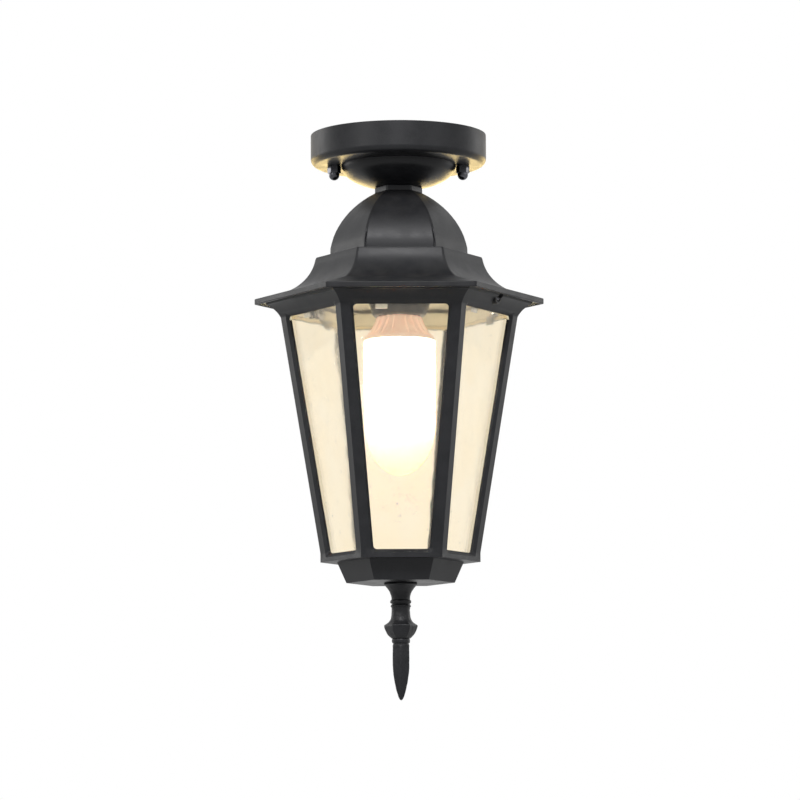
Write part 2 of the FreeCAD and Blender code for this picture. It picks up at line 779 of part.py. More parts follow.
# ---- Roof ----
def make_roof():
    """Cast hexagonal roof: neck, dome, ledge, hollow flare and eave, with two lugs for the cage screws."""
    outer = hexagonal((0, neck_top), (flat(neck_corner), neck_top), (flat(neck_corner), roof_dome_top),
                      (flat(roof_dome_corner), roof_foot_top, roof_dome_bulge),
                      (flat(roof_dome_corner), ledge_top), (flat(ledge_corner), ledge_edge),
                      (flat(flare_start_corner), ledge_edge - flare_start_drop),
                      (flat(flare_corner), flare_end, -flare_bulge),
                      (flat(eave_corner), eave_top), (flat(eave_corner), eave_bottom), (0, eave_bottom))
    foot_inside = flat(roof_dome_corner) - roof_wall
    flare_inside = flat(flare_start_corner) - roof_wall
    fascia_inside = flat(eave_corner) - fascia_wall
    inner = hexagonal((0, web_underside), (roof_washer_radius + roof_wall, web_underside),
                      (foot_inside, roof_foot_top, roof_dome_bulge), (foot_inside, ledge_top - roof_wall),
                      (flare_inside, ledge_edge - roof_wall),
                      (flat(flare_corner), eave_underside_at_flare, -flare_bulge),
                      (fascia_inside, eave_underside(fascia_inside)), (fascia_inside, eave_bottom - spare),
                      (0, eave_bottom - spare))
    shell = outer.cut(inner)
    lug = block(lug_thickness, lug_width, eave_underside_at_flare + roof_wall / 2, lug_bottom,
                (lug_inner + lug_outer) / 2)
    slot_radius = cage_screw_radius + screw_clearance
    slot = outward_rod(slot_radius, lug_inner - spare, lug_outer + spare, cage_screw_level)
    slot_mouth = block(lug_thickness + 2 * spare, 2 * slot_radius, cage_screw_level, lug_bottom - spare,
                       (lug_inner + lug_outer) / 2)
    slotted_lug = lug.cut([slot, slot_mouth])
    roof = shell.fuse([turned(slotted_lug, angle) for angle in SCREW_FACES]).removeSplitter()
    return roof.cut(rod(nipple_radius + screw_clearance, neck_top + spare, web_underside - spare))


# ---- Cage ----
def side_point(offset, run, depth):
    """Point on the cage's tapered side that looks along +X.

    Args:
        offset: sideways distance from the middle of the side.
        run: distance down the slope from the foot of the cove.
        depth: distance in from the outer face, square to it.
    """
    reach = flat(cove_corner) - run * math.sin(cage_tilt) - depth * math.cos(cage_tilt)
    level = cove_foot - run * math.cos(cage_tilt) + depth * math.sin(cage_tilt)
    return FreeCAD.Vector(reach, offset, level)


def side_half_width(run):
    """Half the width of the cage's side at a distance down the slope."""
    return (flat(cove_corner) - run * math.sin(cage_tilt)) * math.tan(math.radians(30))


def side_run(level):
    """Distance down the slope at which the side reaches a level."""
    return (cove_foot - level) / math.cos(cage_tilt)


def side_at_level(level, depth):
    """Point in the middle of the side at a level, on a plane parallel to the outer face."""
    return side_point(0, side_run(level) + depth * math.tan(cage_tilt), depth)


def side_trapezoid(margin, top_run, bottom_run, depth):
    """Closed outline on the side, a margin inside its slanting edges."""
    top_half = side_half_width(top_run) - margin
    bottom_half = side_half_width(bottom_run) - margin
    corners = [side_point(-top_half, top_run, depth), side_point(top_half, top_run, depth),
               side_point(bottom_half, bottom_run, depth), side_point(-bottom_half, bottom_run, depth)]
    return Part.makePolygon(corners + [corners[0]])


def window_outline(margin, depth, spread):
    """Window opening with round corners; spread widens it on all sides."""
    top_run = side_run(window_top) - spread + window_rounding
    bottom_run = side_run(window_bottom) + spread - window_rounding
    core = side_trapezoid(margin - spread + window_rounding, top_run, bottom_run, depth)
    return core.makeOffset2D(window_rounding)


def window_cutter():
    """Tool for one window: straight through, with a bevel at the outer face."""
    through = Part.Face(window_outline(stile_width, -spare, 0))
    inward = side_point(0, 0, 1) - side_point(0, 0, 0)
    through = through.extrude(inward * (cage_wall + 3 * spare))
    bevel = Part.makeLoft([window_outline(stile_width, -spare, window_bevel + spare),
                           window_outline(stile_width, window_bevel, 0)], True, True)
    return through.fuse(bevel)


def make_crown_groove():
    """Cored groove in the top of the crown that keeps its wall even."""
    groove_inner = crown_bore + crown_wall
    groove_outer = flat(crown_side_corner) - crown_wall
    groove_bottom = crown_side_bottom - crown_groove_below_side
    outside = hexagonal((0, crown_top + spare), (groove_outer, crown_top + spare),
                        (groove_outer, crown_side_bottom), (groove_outer - crown_wall, groove_bottom),
                        (0, groove_bottom))
    inside = hexagonal((0, crown_top + 2 * spare), (groove_inner, crown_top + 2 * spare),
                       (groove_inner, groove_bottom - spare), (0, groove_bottom - spare))
    return outside.cut(inside)


def pan_screw_angles():
    """Where the three bottom pan screws stand."""
    return [90, 210, 330]


def make_cage_frame():
    """One casting: crown with a cove, six tapering stiles, a bottom rail and an inner ledge."""
    base_flat = flat(cage_base_corner)
    ledge_flat = flat(cage_ledge_corner)
    outer = hexagonal((0, crown_top), (flat(crown_corner), crown_top),
                      (flat(crown_side_corner), crown_side_bottom),
                      (flat(cove_corner), cove_foot, -cove_hollow),
                      (base_flat, cage_taper_end), (base_flat, cage_bottom), (0, cage_bottom))
    pane_seat_top = side_at_level(pane_top + pane_gap, cage_wall)
    pane_seat_bottom = side_at_level(cage_ledge_top, cage_wall)
    inner = hexagonal((0, crown_top + spare), (crown_bore, crown_top + spare),
                      (crown_bore, pane_top + pane_gap), (pane_seat_top.x, pane_top + pane_gap),
                      (pane_seat_bottom.x, cage_ledge_top), (ledge_flat, cage_ledge_top),
                      (ledge_flat, cage_bottom - spare), (0, cage_bottom - spare))
    boss = outward_rod(cage_boss_radius, crown_bore, flat(crown_side_corner) - 2 * spare, cage_screw_level)
    under_top = block(4 * canopy_radius, 4 * canopy_radius, crown_top, cage_bottom)
    bosses = [turned(boss, angle).common(under_top) for angle in SCREW_FACES]
    frame = outer.cut([inner, make_crown_groove()]).fuse(bosses).removeSplitter()
    recess_seat = flat(crown_side_corner) - cage_recess_depth
    recess = outward_rod(cage_recess_radius, recess_seat, flat(eave_corner), cage_screw_level)
    screw_hole = outward_rod(cage_screw_radius + screw_clearance, crown_bore - spare, recess_seat + spare,
                             cage_screw_level)
    clip_hole = outward_rod(clip_screw_radius + thread_clearance, crown_bore - spare,
                            crown_bore + crown_wall + spare / 2, clip_screw_level(), -clip_offset)
    pan_hole = rod(pan_screw_radius + screw_clearance, cage_ledge_top + spare, cage_bottom - spare,
                   pan_screw_circle)
    cuts = [turned(window_cutter(), angle) for angle in FACE_ANGLES]
    cuts += [turned(recess.fuse(screw_hole), angle) for angle in SCREW_FACES]
    cuts += [turned(clip_hole, angle) for angle in FACE_ANGLES]
    cuts += [turned(pan_hole, angle) for angle in pan_screw_angles()]
    return frame.cut(cuts).removeSplitter()


def make_pane():
    """Flat glass pane behind the window that looks along +X; it stands on the ledge."""
    inset = cage_wall + pane_gap
    margin = stile_width - pane_overlap
    top_run = side_run(pane_top) + (inset + pane_thickness) * math.tan(cage_tilt)
    bottom_run = side_run(pane_bottom) + inset * math.tan(cage_tilt)
    edge = side_trapezoid(margin, top_run, bottom_run, inset)
    inward = side_point(0, 0, 1) - side_point(0, 0, 0)
    return Part.Face(edge).extrude(inward * pane_thickness)


def clip_screw_level():
    """Level of the screws that hold the pane clips."""
    return (crown_top + pane_top) / 2 - clip_screw_drop


def make_pane_clip():
    """Bent spring strip: flat on the crown's inner wall, over the pane's top and down its inner face."""
    top = clip_screw_level() + clip_head_radius + clip_above_screw
    bend = pane_top + pane_gap + clip_thickness
    clear_of_pane = cage_wall + 2 * pane_gap + pane_thickness
    face_top = side_at_level(pane_top + pane_gap, clear_of_pane)
    face_end = side_at_level(pane_top - clip_reach, clear_of_pane)
    edges = outline((crown_bore, top), (crown_bore, pane_top + pane_gap), (face_top.x, pane_top + pane_gap),
                    (face_end.x, face_end.z), (face_end.x - clip_thickness, face_end.z),
                    (face_top.x - clip_thickness, bend), (crown_bore - clip_thickness, bend),
                    (crown_bore - clip_thickness, top), (crown_bore, top))
    strip = Part.Face(Part.Wire(edges)).extrude(FreeCAD.Vector(0, clip_width, 0))
    strip.translate(FreeCAD.Vector(0, -clip_offset - clip_width / 2, 0))
    hole = outward_rod(clip_screw_radius + screw_clearance, crown_bore - 2 * spare, crown_bore + spare,
                       clip_screw_level(), -clip_offset)
    return strip.cut(hole)


def make_clip_screw():
    """Screw of one pane clip, its head towards the lamp."""
    length = clip_thickness + crown_wall
    screw = dome_headed_screw(clip_screw_radius, clip_head_radius, clip_head_height, length)
    screw.rotate(CENTRE, FreeCAD.Vector(0, 1, 0), -90)
    screw.translate(FreeCAD.Vector(crown_bore - clip_thickness, -clip_offset, clip_screw_level()))
    return screw


def make_cage_screw():
    """Screw from the crown's recess through the roof lug's slot into its nut."""
    seat = flat(crown_side_corner) - cage_recess_depth
    length = seat - (lug_inner - contact_gap - cage_nut_height)
    screw = dome_headed_screw(cage_screw_radius, cage_screw_head_radius, cage_screw_head_height, length)
    screw.rotate(CENTRE, FreeCAD.Vector(0, 1, 0), 90)
    screw.translate(FreeCAD.Vector(seat, 0, cage_screw_level))
    return screw


def make_cage_nut():
    """Nut behind the roof lug."""
    nut = chamfered_nut(cage_nut_across_flats, cage_screw_radius + thread_clearance, 0, -cage_nut_height)
    nut.rotate(CENTRE, FreeCAD.Vector(0, 1, 0), 90)
    nut.translate(FreeCAD.Vector(lug_inner - contact_gap, 0, cage_screw_level))
    return nut


# ---- Bottom pan and finial ----
def make_bottom_pan():
    """Tapered hexagonal pan under the cage, hollow, with three screw bosses inside."""
    outer = hexagonal((0, cage_bottom), (flat(pan_top_corner), cage_bottom),
                      (flat(pan_base_corner), pan_bottom), (0, pan_bottom))
    inner = hexagonal((0, cage_bottom + spare), (flat(pan_top_corner) - pan_wall, cage_bottom + spare),
                      (flat(pan_top_corner) - pan_wall, cage_bottom),
                      (flat(pan_base_corner) - pan_wall, pan_floor_top), (0, pan_floor_top))
    boss = rod(pan_boss_radius, cage_bottom, pan_bottom + pan_wall / 2, pan_screw_circle)
    bosses = [turned(boss, angle).common(outer) for angle in pan_screw_angles()]
    pan = outer.cut(inner).fuse(bosses).removeSplitter()
    pilot = rod(pan_screw_radius + thread_clearance, cage_bottom + spare, cage_bottom - pan_boss_height,
                pan_screw_circle)
    holes = [turned(pilot, angle) for angle in pan_screw_angles()]
    holes.append(rod(finial_stud_radius + screw_clearance, pan_floor_top + spare, pan_bottom - spare))
    return pan.cut(holes)


def make_pan_screws():
    """Three screws that hold the pan up against the cage's ledge."""
    screw = dome_headed_screw(pan_screw_radius, pan_head_radius, pan_head_height, pan_screw_length)
    screw.translate(FreeCAD.Vector(pan_screw_circle, 0, cage_ledge_top))
    return all_round(screw, pan_screw_angles())


def make_finial_washer():
    """Washer inside the pan."""
    top = pan_floor_top + finial_washer_thickness
    return tube(finial_washer_radius, finial_stud_radius + thread_clearance, top, pan_floor_top)


def make_finial_nut():
    """Nut that holds the finial in the pan."""
    bottom = pan_floor_top + finial_washer_thickness
    top = bottom + finial_nut_height
    return chamfered_nut(finial_nut_across_flats, finial_stud_radius + thread_clearance, top, bottom)


def make_finial():
    """Cast finial: flared flange, beaded neck, six-sided knob, collar and a fluted spear point."""
    top = pan_bottom
    flange_foot = top - finial_flange_edge
    neck = flange_foot - finial_flare_height
    bead = neck - finial_neck_length
    bead_end = bead - finial_bead_height
    knob_top = top - finial_knob_drop
    knob_wide = knob_top - finial_knob_shoulder
    knob_end = knob_wide - finial_knob_taper
    collar_end = knob_end - finial_collar_height
    tip = collar_end - finial_spear_length
    half_step = finial_shoulder / 2
    knob_core = finial_neck_radius + finial_shoulder
    spear_side = [(share * finial_spear_radius, collar_end - run * finial_spear_length)
                  for share, run in SPEAR_SIDE]
    turned_part = revolved(
        (0, top), (finial_flange_radius, top), (finial_flange_radius, flange_foot),
        (finial_neck_radius + half_step, neck, -finial_flare_hollow),
        (finial_neck_radius, neck - finial_shoulder), (finial_neck_radius, bead),
        (finial_neck_radius, bead_end, finial_bead_radius - finial_neck_radius),
        (finial_neck_radius - half_step, knob_top + finial_shoulder),
        (knob_core, knob_top - finial_shoulder), (knob_core, knob_wide),
        (finial_collar_radius - half_step, knob_end),
        (finial_collar_radius, knob_end - finial_shoulder, half_step),
        (finial_collar_radius - finial_shoulder, collar_end), spear_side)
    knob_flat = flat(finial_knob_corner)
    edge_top = knob_wide + finial_knob_edge
    knob = hexagonal((0, knob_top), (flat(knob_core), knob_top), (knob_flat, edge_top),
                     (knob_flat, knob_wide),
                     (flat(finial_neck_radius), knob_end, finial_knob_bulge), (0, knob_end))
    softened_corner = finial_knob_corner - half_step
    softener = revolved((0, knob_top + spare), (knob_core, knob_top + spare), (softened_corner, edge_top),
                        (softened_corner, knob_wide),
                        (finial_neck_radius, knob_end - spare, finial_knob_bulge), (0, knob_end - spare))
    flute = rod(finial_flute_radius, collar_end, tip - spare, finial_flute_circle)
    flutes = [turned(flute, 360.0 / finial_flutes * number) for number in range(finial_flutes)]
    stud = rod(finial_stud_radius, top + finial_stud_height, top)
    return fused([turned_part.cut(flutes), knob.common(softener), stud])


# ---- Nodes ----
def make_all():
    """All sub-parts by node name."""
    nodes = {
        "crossbar": make_crossbar(),
        "canopy_studs": make_canopy_studs(),
        "stud_nuts": make_stud_nuts(),
        "cap_nuts": make_cap_nuts(),
        "ground_screw": make_ground_screw(),
        "ground_washer": make_ground_washer(),
        "terminal_block": make_terminal_block(),
        "terminal_screws": make_terminal_screws(),
        "canopy": make_canopy(),
        "nipple": make_nipple(),
        "lock_washer": make_lock_washer(),
        "nipple_nut": make_nipple_nut(),
        "roof": make_roof(),
        "roof_washer": make_roof_washer(),
        "roof_nut": make_roof_nut(),
        "holder_nut": make_holder_nut(),
        "lampholder_cap": make_lampholder_cap(),
        "lampholder_body": make_lampholder_body(),
        "contact_carrier": make_contact_carrier(),
        "holder_screws": make_holder_screws(),
        "screw_shell": make_screw_shell(),
        "centre_contact": make_centre_contact(),
        "lamp_contact": make_lamp_contact(),
        "lamp_insulator": make_lamp_insulator(),
        "lamp_cap": make_lamp_cap(),
        "lamp_housing": make_lamp_housing(),
        "led_plate": make_led_plate(),
        "lamp_cover": make_lamp_cover(),
        "cage_frame": make_cage_frame(),
        "pane_clips": all_round(make_pane_clip(), FACE_ANGLES),
        "clip_screws": all_round(make_clip_screw(), FACE_ANGLES),
        "cage_screws": all_round(make_cage_screw(), SCREW_FACES),
        "cage_nuts": all_round(make_cage_nut(), SCREW_FACES),
        "bottom_pan": make_bottom_pan(),
        "pan_screws": make_pan_screws(),
        "finial": make_finial(),
        "finial_washer": make_finial_washer(),
        "finial_nut": make_finial_nut(),
    }
    pane = make_pane()
    pane_names = ["back_right", "back", "back_left", "front_left", "front", "front_right"]
    for angle, name in zip(FACE_ANGLES, pane_names):
        nodes["pane_" + name] = turned(pane, angle)
    return nodes


os.makedirs("parts", exist_ok=True)
for node_name, node_shape in make_all().items():
    node_shape.exportStep("parts/" + node_name + ".step")
    solids = len(node_shape.Solids)
    print(node_name, "solids", solids, "valid", node_shape.isValid(), "volume", round(node_shape.Volume, 1))
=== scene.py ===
"""Looks of a hexagonal porch ceiling lantern, dressed around its packed construction model.

The lantern hangs from the ceiling plane at z = 0. Its sizes here are in millimetres and become
metres where a mesh is made; the studio's are in metres. The front looks along -Y, square to one
flat side of the hexagon.
"""

import logging
import math
from dataclasses import dataclass, field
from enum import Enum
from typing import Any, Callable, Iterable, Optional, Sequence

import bmesh
import bpy
from mathutils import Matrix, Quaternion, Vector


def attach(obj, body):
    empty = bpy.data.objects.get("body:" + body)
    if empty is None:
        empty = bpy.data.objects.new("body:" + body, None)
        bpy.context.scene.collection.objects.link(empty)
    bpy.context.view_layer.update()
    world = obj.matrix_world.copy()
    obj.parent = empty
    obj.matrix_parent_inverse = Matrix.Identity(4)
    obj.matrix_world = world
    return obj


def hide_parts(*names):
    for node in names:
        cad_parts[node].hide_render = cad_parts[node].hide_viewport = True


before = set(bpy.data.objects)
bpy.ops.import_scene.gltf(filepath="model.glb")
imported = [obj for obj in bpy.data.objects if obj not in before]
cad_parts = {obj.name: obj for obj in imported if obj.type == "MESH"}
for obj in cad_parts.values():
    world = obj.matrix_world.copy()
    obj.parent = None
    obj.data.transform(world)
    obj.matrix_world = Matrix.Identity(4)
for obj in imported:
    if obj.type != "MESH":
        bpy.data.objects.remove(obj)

LOG = logging.getLogger("porch_lantern")
MM = 0.001                                # metres in a millimetre
FLAT_SHARE = math.cos(math.radians(30))   # a hexagon's side distance, as a share of its corner's
SAME_PLACE = 0.002                        # points nearer than this, in millimetres, are one

Point2 = tuple[float, float]
Point3 = tuple[float, float, float]
Colour = tuple[float, float, float]


class Body(Enum):
    """Moving bodies of the lantern."""

    FIXTURE = "fixture"
    LAMP_TIP = "lamp_tip"
    LAMP = "lamp"
    CAGE = "cage"


class Side(Enum):
    """Sides of the hexagon, by the angle that each looks along."""

    BACK_RIGHT = 30
    BACK = 90
    BACK_LEFT = 150
    FRONT_LEFT = 210
    FRONT = 270
    FRONT_RIGHT = 330


class Reach(Enum):
    """Which pieces a lamp of the studio lights."""

    ALL = "all"
    ALL_BUT_GLASS = "all but the panes"
    CANOPY = "the canopy alone"


# ---------------------------------------------------------------- node trees

Socket = bpy.types.NodeSocket


class Sheet:
    """Adds and joins the nodes of one tree."""

    def __init__(self, tree: bpy.types.NodeTree) -> None:
        """Works on a tree.

        Args:
            tree: the shader or geometry tree to fill.
        """
        self.tree = tree

    def node(self, kind: str, inputs: Optional[dict[Any, Any]] = None,
             **settings: Any) -> bpy.types.Node:
        """Adds a node.

        Args:
            kind: the node's type name.
            inputs: values or output sockets, by the name or number of the input.
            settings: properties of the node itself.

        Returns:
            The new node.
        """
        node = self.tree.nodes.new(kind)
        for name, value in settings.items():
            setattr(node, name, value)
        for key, value in (inputs or {}).items():
            if isinstance(value, Socket):
                self.link(value, node.inputs[key])
            else:
                node.inputs[key].default_value = value
        return node

    def link(self, source: Socket, target: Socket) -> None:
        """Joins an output to an input."""
        self.tree.links.new(source, target)

    def math(self, operation: str, *values: Any) -> Socket:
        """Adds a Math node and returns its result."""
        return self.node("ShaderNodeMath", dict(enumerate(values)), operation=operation).outputs[0]

    def times(self, first: Any, *others: Any) -> Socket:
        """The product of the values."""
        for other in others:
            first = self.math("MULTIPLY", first, other)
        return first

    def plus(self, first: Any, *others: Any) -> Socket:
        """The sum of the values."""
        for other in others:
            first = self.math("ADD", first, other)
        return first

    def minus(self, first: Any, *others: Any) -> Socket:
        """The first value less the others."""
        for other in others:
            first = self.math("SUBTRACT", first, other)
        return first

    def split(self, vector: Any) -> tuple[Socket, Socket, Socket]:
        """The three parts of a vector."""
        parts = self.node("ShaderNodeSeparateXYZ", {0: vector}).outputs
        return parts[0], parts[1], parts[2]

    def vector(self, x: Any = 0.0, y: Any = 0.0, z: Any = 0.0) -> Socket:
        """A vector from its three parts."""
        return self.node("ShaderNodeCombineXYZ", {0: x, 1: y, 2: z}).outputs[0]

    def spread(self, value: Any, low: float, high: float, to_low: float = 0.0,
               to_high: float = 1.0) -> Socket:
        """Maps a value smoothly from one range to another and returns the result."""
        ranges = {"Value": value, "From Min": low, "From Max": high, "To Min": to_low,
                  "To Max": to_high}
        node = self.node("ShaderNodeMapRange", ranges, interpolation_type="SMOOTHSTEP")
        return node.outputs["Result"]

    def blend(self, share: Any, first: Any, second: Any) -> Socket:
        """Mixes two colours and returns the result."""
        parts = {"Factor": share, 6: first, 7: second}
        return self.node("ShaderNodeMix", parts, data_type="RGBA").outputs[2]

    def grain(self, vector: Any, scale: Any, detail: float = 2.0, roughness: float = 0.5) -> Socket:
        """Adds a noise pattern and returns its value."""
        sizes = {"Vector": vector, "Scale": scale, "Detail": detail, "Roughness": roughness}
        return self.node("ShaderNodeTexNoise", sizes).outputs[0]

    def object_place(self) -> Socket:
        """The place on a piece."""
        return self.node("ShaderNodeTexCoord").outputs["Object"]

    def attribute(self, name: str) -> Socket:
        """A number that a piece's mesh holds under a name."""
        return self.node("ShaderNodeAttribute", attribute_name=name).outputs["Fac"]

    def seen_directly(self) -> Socket:
        """1 for the camera's rays and for those that gloss and glass send on."""
        path = self.node("ShaderNodeLightPath").outputs
        return self.math("MAXIMUM", path["Is Camera Ray"], self.math(
            "MAXIMUM", path["Is Glossy Ray"], path["Is Transmission Ray"]))


def rgba(colour: Colour, shade: float = 1.0) -> tuple[float, float, float, float]:
    """A colour with full alpha, made darker or lighter by a shade."""
    return (*(min(1.0, shade * part) for part in colour), 1.0)


Sockets = bpy.types.bpy_prop_collection


def new_group(name: str, kind: str, inputs: dict[str, tuple[str, Any]],
              outputs: dict[str, str]) -> tuple[Sheet, Sockets, Sockets]:
    """Makes a node group with named sockets.

    Args:
        name: the group's name.
        kind: the tree's type name.
        inputs: socket type and default value by input name.
        outputs: socket type by output name.

    Returns:
        The sheet of the new tree, the sockets it is given and the sockets of its result.
    """
    tree = bpy.data.node_groups.new(name, kind)
    for label, (socket_type, value) in inputs.items():
        socket = tree.interface.new_socket(label, in_out="INPUT", socket_type=socket_type)
        if value is not None:
            socket.default_value = value
    for label, socket_type in outputs.items():
        tree.interface.new_socket(label, in_out="OUTPUT", socket_type=socket_type)
    sheet = Sheet(tree)
    return sheet, sheet.node("NodeGroupInput").outputs, sheet.node("NodeGroupOutput").inputs


FLOAT = "NodeSocketFloat"
INTEGER = "NodeSocketInt"
VECTOR = "NodeSocketVector"
GEOMETRY = "NodeSocketGeometry"
MATERIAL = "NodeSocketMaterial"


class TreeShelf:
    """Node trees by name, each built by the method of that name on first use."""

    def __init__(self) -> None:
        """Holds no tree yet."""
        self.trees: dict[str, bpy.types.NodeTree] = {}

    def get(self, name: str) -> bpy.types.NodeTree:
        """The tree of that name."""
        if name not in self.trees:
            self.trees[name] = getattr(self, "_" + name)()
        return self.trees[name]


@dataclass(frozen=True)
class Scales:
    """How fine each pattern is, in repeats per metre."""

    pits: float = 420.0
    slow_waves: float = 95.0
    slower_waves: float = 34.0
    worn_patches: float = 260.0
    dust_clouds: float = 60.0
    drawn_marks: float = 900.0
    smudges: float = 180.0
    glass_ripples: float = 85.0
    glass_seeds: float = 170.0
    tint_clouds: float = 30.0
    board_grain: float = 800.0


SCALES = Scales()
USUAL = (0.3, 0.7)     # the range that most of a noise pattern's values lie in
MIDDLE = (0.35, 0.65)  # a narrower one, for a clearer pattern


class Effects(TreeShelf):
    """Shader groups that several finishes use."""

    def place(self, sheet: Sheet, name: str, inputs: dict[str, Any]) -> Sockets:
        """Places a group in a material.

        Args:
            sheet: the material's sheet.
            name: the group's name.
            inputs: values by input name.

        Returns:
            The group's outputs.
        """
        return sheet.node("ShaderNodeGroup", inputs, node_tree=self.get(name)).outputs

    def _cast_skin(self) -> bpy.types.NodeTree:
        """Skin of a painted casting: fine spray grain over slow unevenness."""
        pit_edge, pit_share, slower_share = 0.35, 0.25, 2.0
        sheet, given, result = new_group(
            "cast_skin", "ShaderNodeTree",
            {"Grain Size": (FLOAT, 0.7), "Unevenness": (FLOAT, 1.0)},
            {"Height": FLOAT, "Mottle": FLOAT})
        place = sheet.object_place()
        fine = sheet.grain(place, sheet.math("DIVIDE", 1.0 / MM, given["Grain Size"]), 3.0, 0.6)
        pits = sheet.node("ShaderNodeTexVoronoi", {"Vector": place, "Scale": SCALES.pits})
        pit = sheet.spread(pits.outputs["Distance"], 0.0, pit_edge, -1.0, 0.0)
        slow = sheet.grain(place, SCALES.slow_waves)
        slower = sheet.grain(place, SCALES.slower_waves, 1.0)
        texture = sheet.plus(fine, sheet.times(pit, pit_share))
        waves = sheet.times(sheet.plus(slow, sheet.times(slower, slower_share)),
                            given["Unevenness"])
        sheet.link(sheet.plus(texture, waves), result["Height"])
        sheet.link(sheet.times(sheet.plus(fine, slow), 0.5), result["Mottle"])
        return sheet.tree

    def _edge_wear(self) -> bpy.types.NodeTree:
        """Where a coat has thinned over an edge: the piece's edge attribute, broken up by noise."""
        least_worn, reach, softness = 0.78, 0.4, 0.1
        sheet, given, result = new_group("edge_wear", "ShaderNodeTree", {"Amount": (FLOAT, 0.5)},
                                         {"Mask": FLOAT})
        patches = sheet.grain(sheet.object_place(), SCALES.worn_patches, 4.0, 0.65)
        cut = sheet.minus(least_worn, sheet.times(given["Amount"], reach))
        worn = sheet.spread(sheet.minus(patches, cut), 0.0, softness)
        sheet.link(sheet.times(worn, sheet.attribute("edge")), result["Mask"])
        return sheet.tree

    def _settled_dust(self) -> bpy.types.NodeTree:
        """Thin outdoor dust on faces that look up."""
        upward, cloudy = (0.1, 1.0), (0.3, 0.75)
        sheet, given, result = new_group("settled_dust", "ShaderNodeTree", {"Amount": (FLOAT, 0.3)},
                                         {"Mask": FLOAT})
        facing_up = sheet.split(sheet.node("ShaderNodeNewGeometry").outputs["Normal"])[2]
        cloud = sheet.grain(sheet.object_place(), SCALES.dust_clouds, 5.0, 0.6)
        mask = sheet.times(sheet.spread(facing_up, *upward), sheet.spread(cloud, *cloudy),
                           given["Amount"])
        sheet.link(mask, result["Mask"])
        return sheet.tree

    def _fine_scratches(self) -> bpy.types.NodeTree:
        """Rolled and handled metal: long faint marks and smudges."""
        sheet, given, result = new_group(
            "fine_scratches", "ShaderNodeTree", {"Stretch": (VECTOR, (1.0, 1.0, 12.0))},
            {"Height": FLOAT, "Smudge": FLOAT})
        place = sheet.object_place()
        drawn = sheet.node("ShaderNodeVectorMath", {0: place, 1: given["Stretch"]},
                           operation="MULTIPLY").outputs[0]
        sheet.link(sheet.grain(drawn, SCALES.drawn_marks, 3.0, 0.7), result["Height"])
        sheet.link(sheet.grain(place, SCALES.smudges, 4.0), result["Smudge"])
        return sheet.tree

    def _rolled_waves(self) -> bpy.types.NodeTree:
        """Rolled glass: slow ripples with small seeds in it."""
        seed_edge, lucky_cells = (0.04, 0.16), (0.72, 0.78)
        sheet, given, result = new_group(
            "rolled_waves", "ShaderNodeTree", {"Ripple": (FLOAT, 1.0), "Seeds": (FLOAT, 1.0)},
            {"Height": FLOAT})
        place = sheet.object_place()
        ripple = sheet.grain(place, SCALES.glass_ripples, 2.0, 0.45)
        cells = sheet.node("ShaderNodeTexVoronoi", {"Vector": place, "Scale": SCALES.glass_seeds})
        seed = sheet.spread(cells.outputs["Distance"], *seed_edge, 1.0, 0.0)
        lot = sheet.node("ShaderNodeSeparateColor", {0: cells.outputs["Color"]}).outputs[0]
        drops = sheet.times(seed, sheet.spread(lot, *lucky_cells), given["Seeds"])
        sheet.link(sheet.plus(sheet.times(ripple, given["Ripple"]), drops), result["Height"])
        return sheet.tree


EFFECTS = Effects()


# ---------------------------------------------------------------- finishes


class Finish:
    """A new material with a Principled shader, and the joins that every finish makes."""

    def __init__(self, name: str) -> None:
        """Makes the material.

        Args:
            name: the finish's name.
        """
        self.material = bpy.data.materials.new(name)
        self.material.use_nodes = True
        self.sheet = Sheet(self.material.node_tree)
        self.inputs = self.material.node_tree.nodes["Principled BSDF"].inputs

    def feed(self, **sources: Socket) -> None:
        """Joins outputs to the shader, by input name with _ for a space."""
        for name, source in sources.items():
            self.sheet.link(source, self.inputs[name.replace("_", " ")])

    def set(self, **values: Any) -> None:
        """Sets plain values on the shader, by input name with _ for a space."""
        for name, value in values.items():
            self.inputs[name.replace("_", " ")].default_value = value

    def skin(self, grain_size: float, unevenness: float) -> Sockets:
        """The height and mottle of a cast or moulded skin."""
        return EFFECTS.place(self.sheet, "cast_skin", {"Grain Size": grain_size,
                                                       "Unevenness": unevenness})

    def mask(self, effect: str, amount: float) -> Socket:
        """Where the wear or the dust is."""
        return EFFECTS.place(self.sheet, effect, {"Amount": amount})["Mask"]

    def bump(self, height: Socket, depth_mm: float) -> None:
        """Feeds a height through a Bump node into the shader's normal."""
        node = self.sheet.node("ShaderNodeBump", {"Height": height, "Distance": depth_mm * MM,
                                                  "Strength": 1.0})
        self.feed(Normal=node.outputs[0])


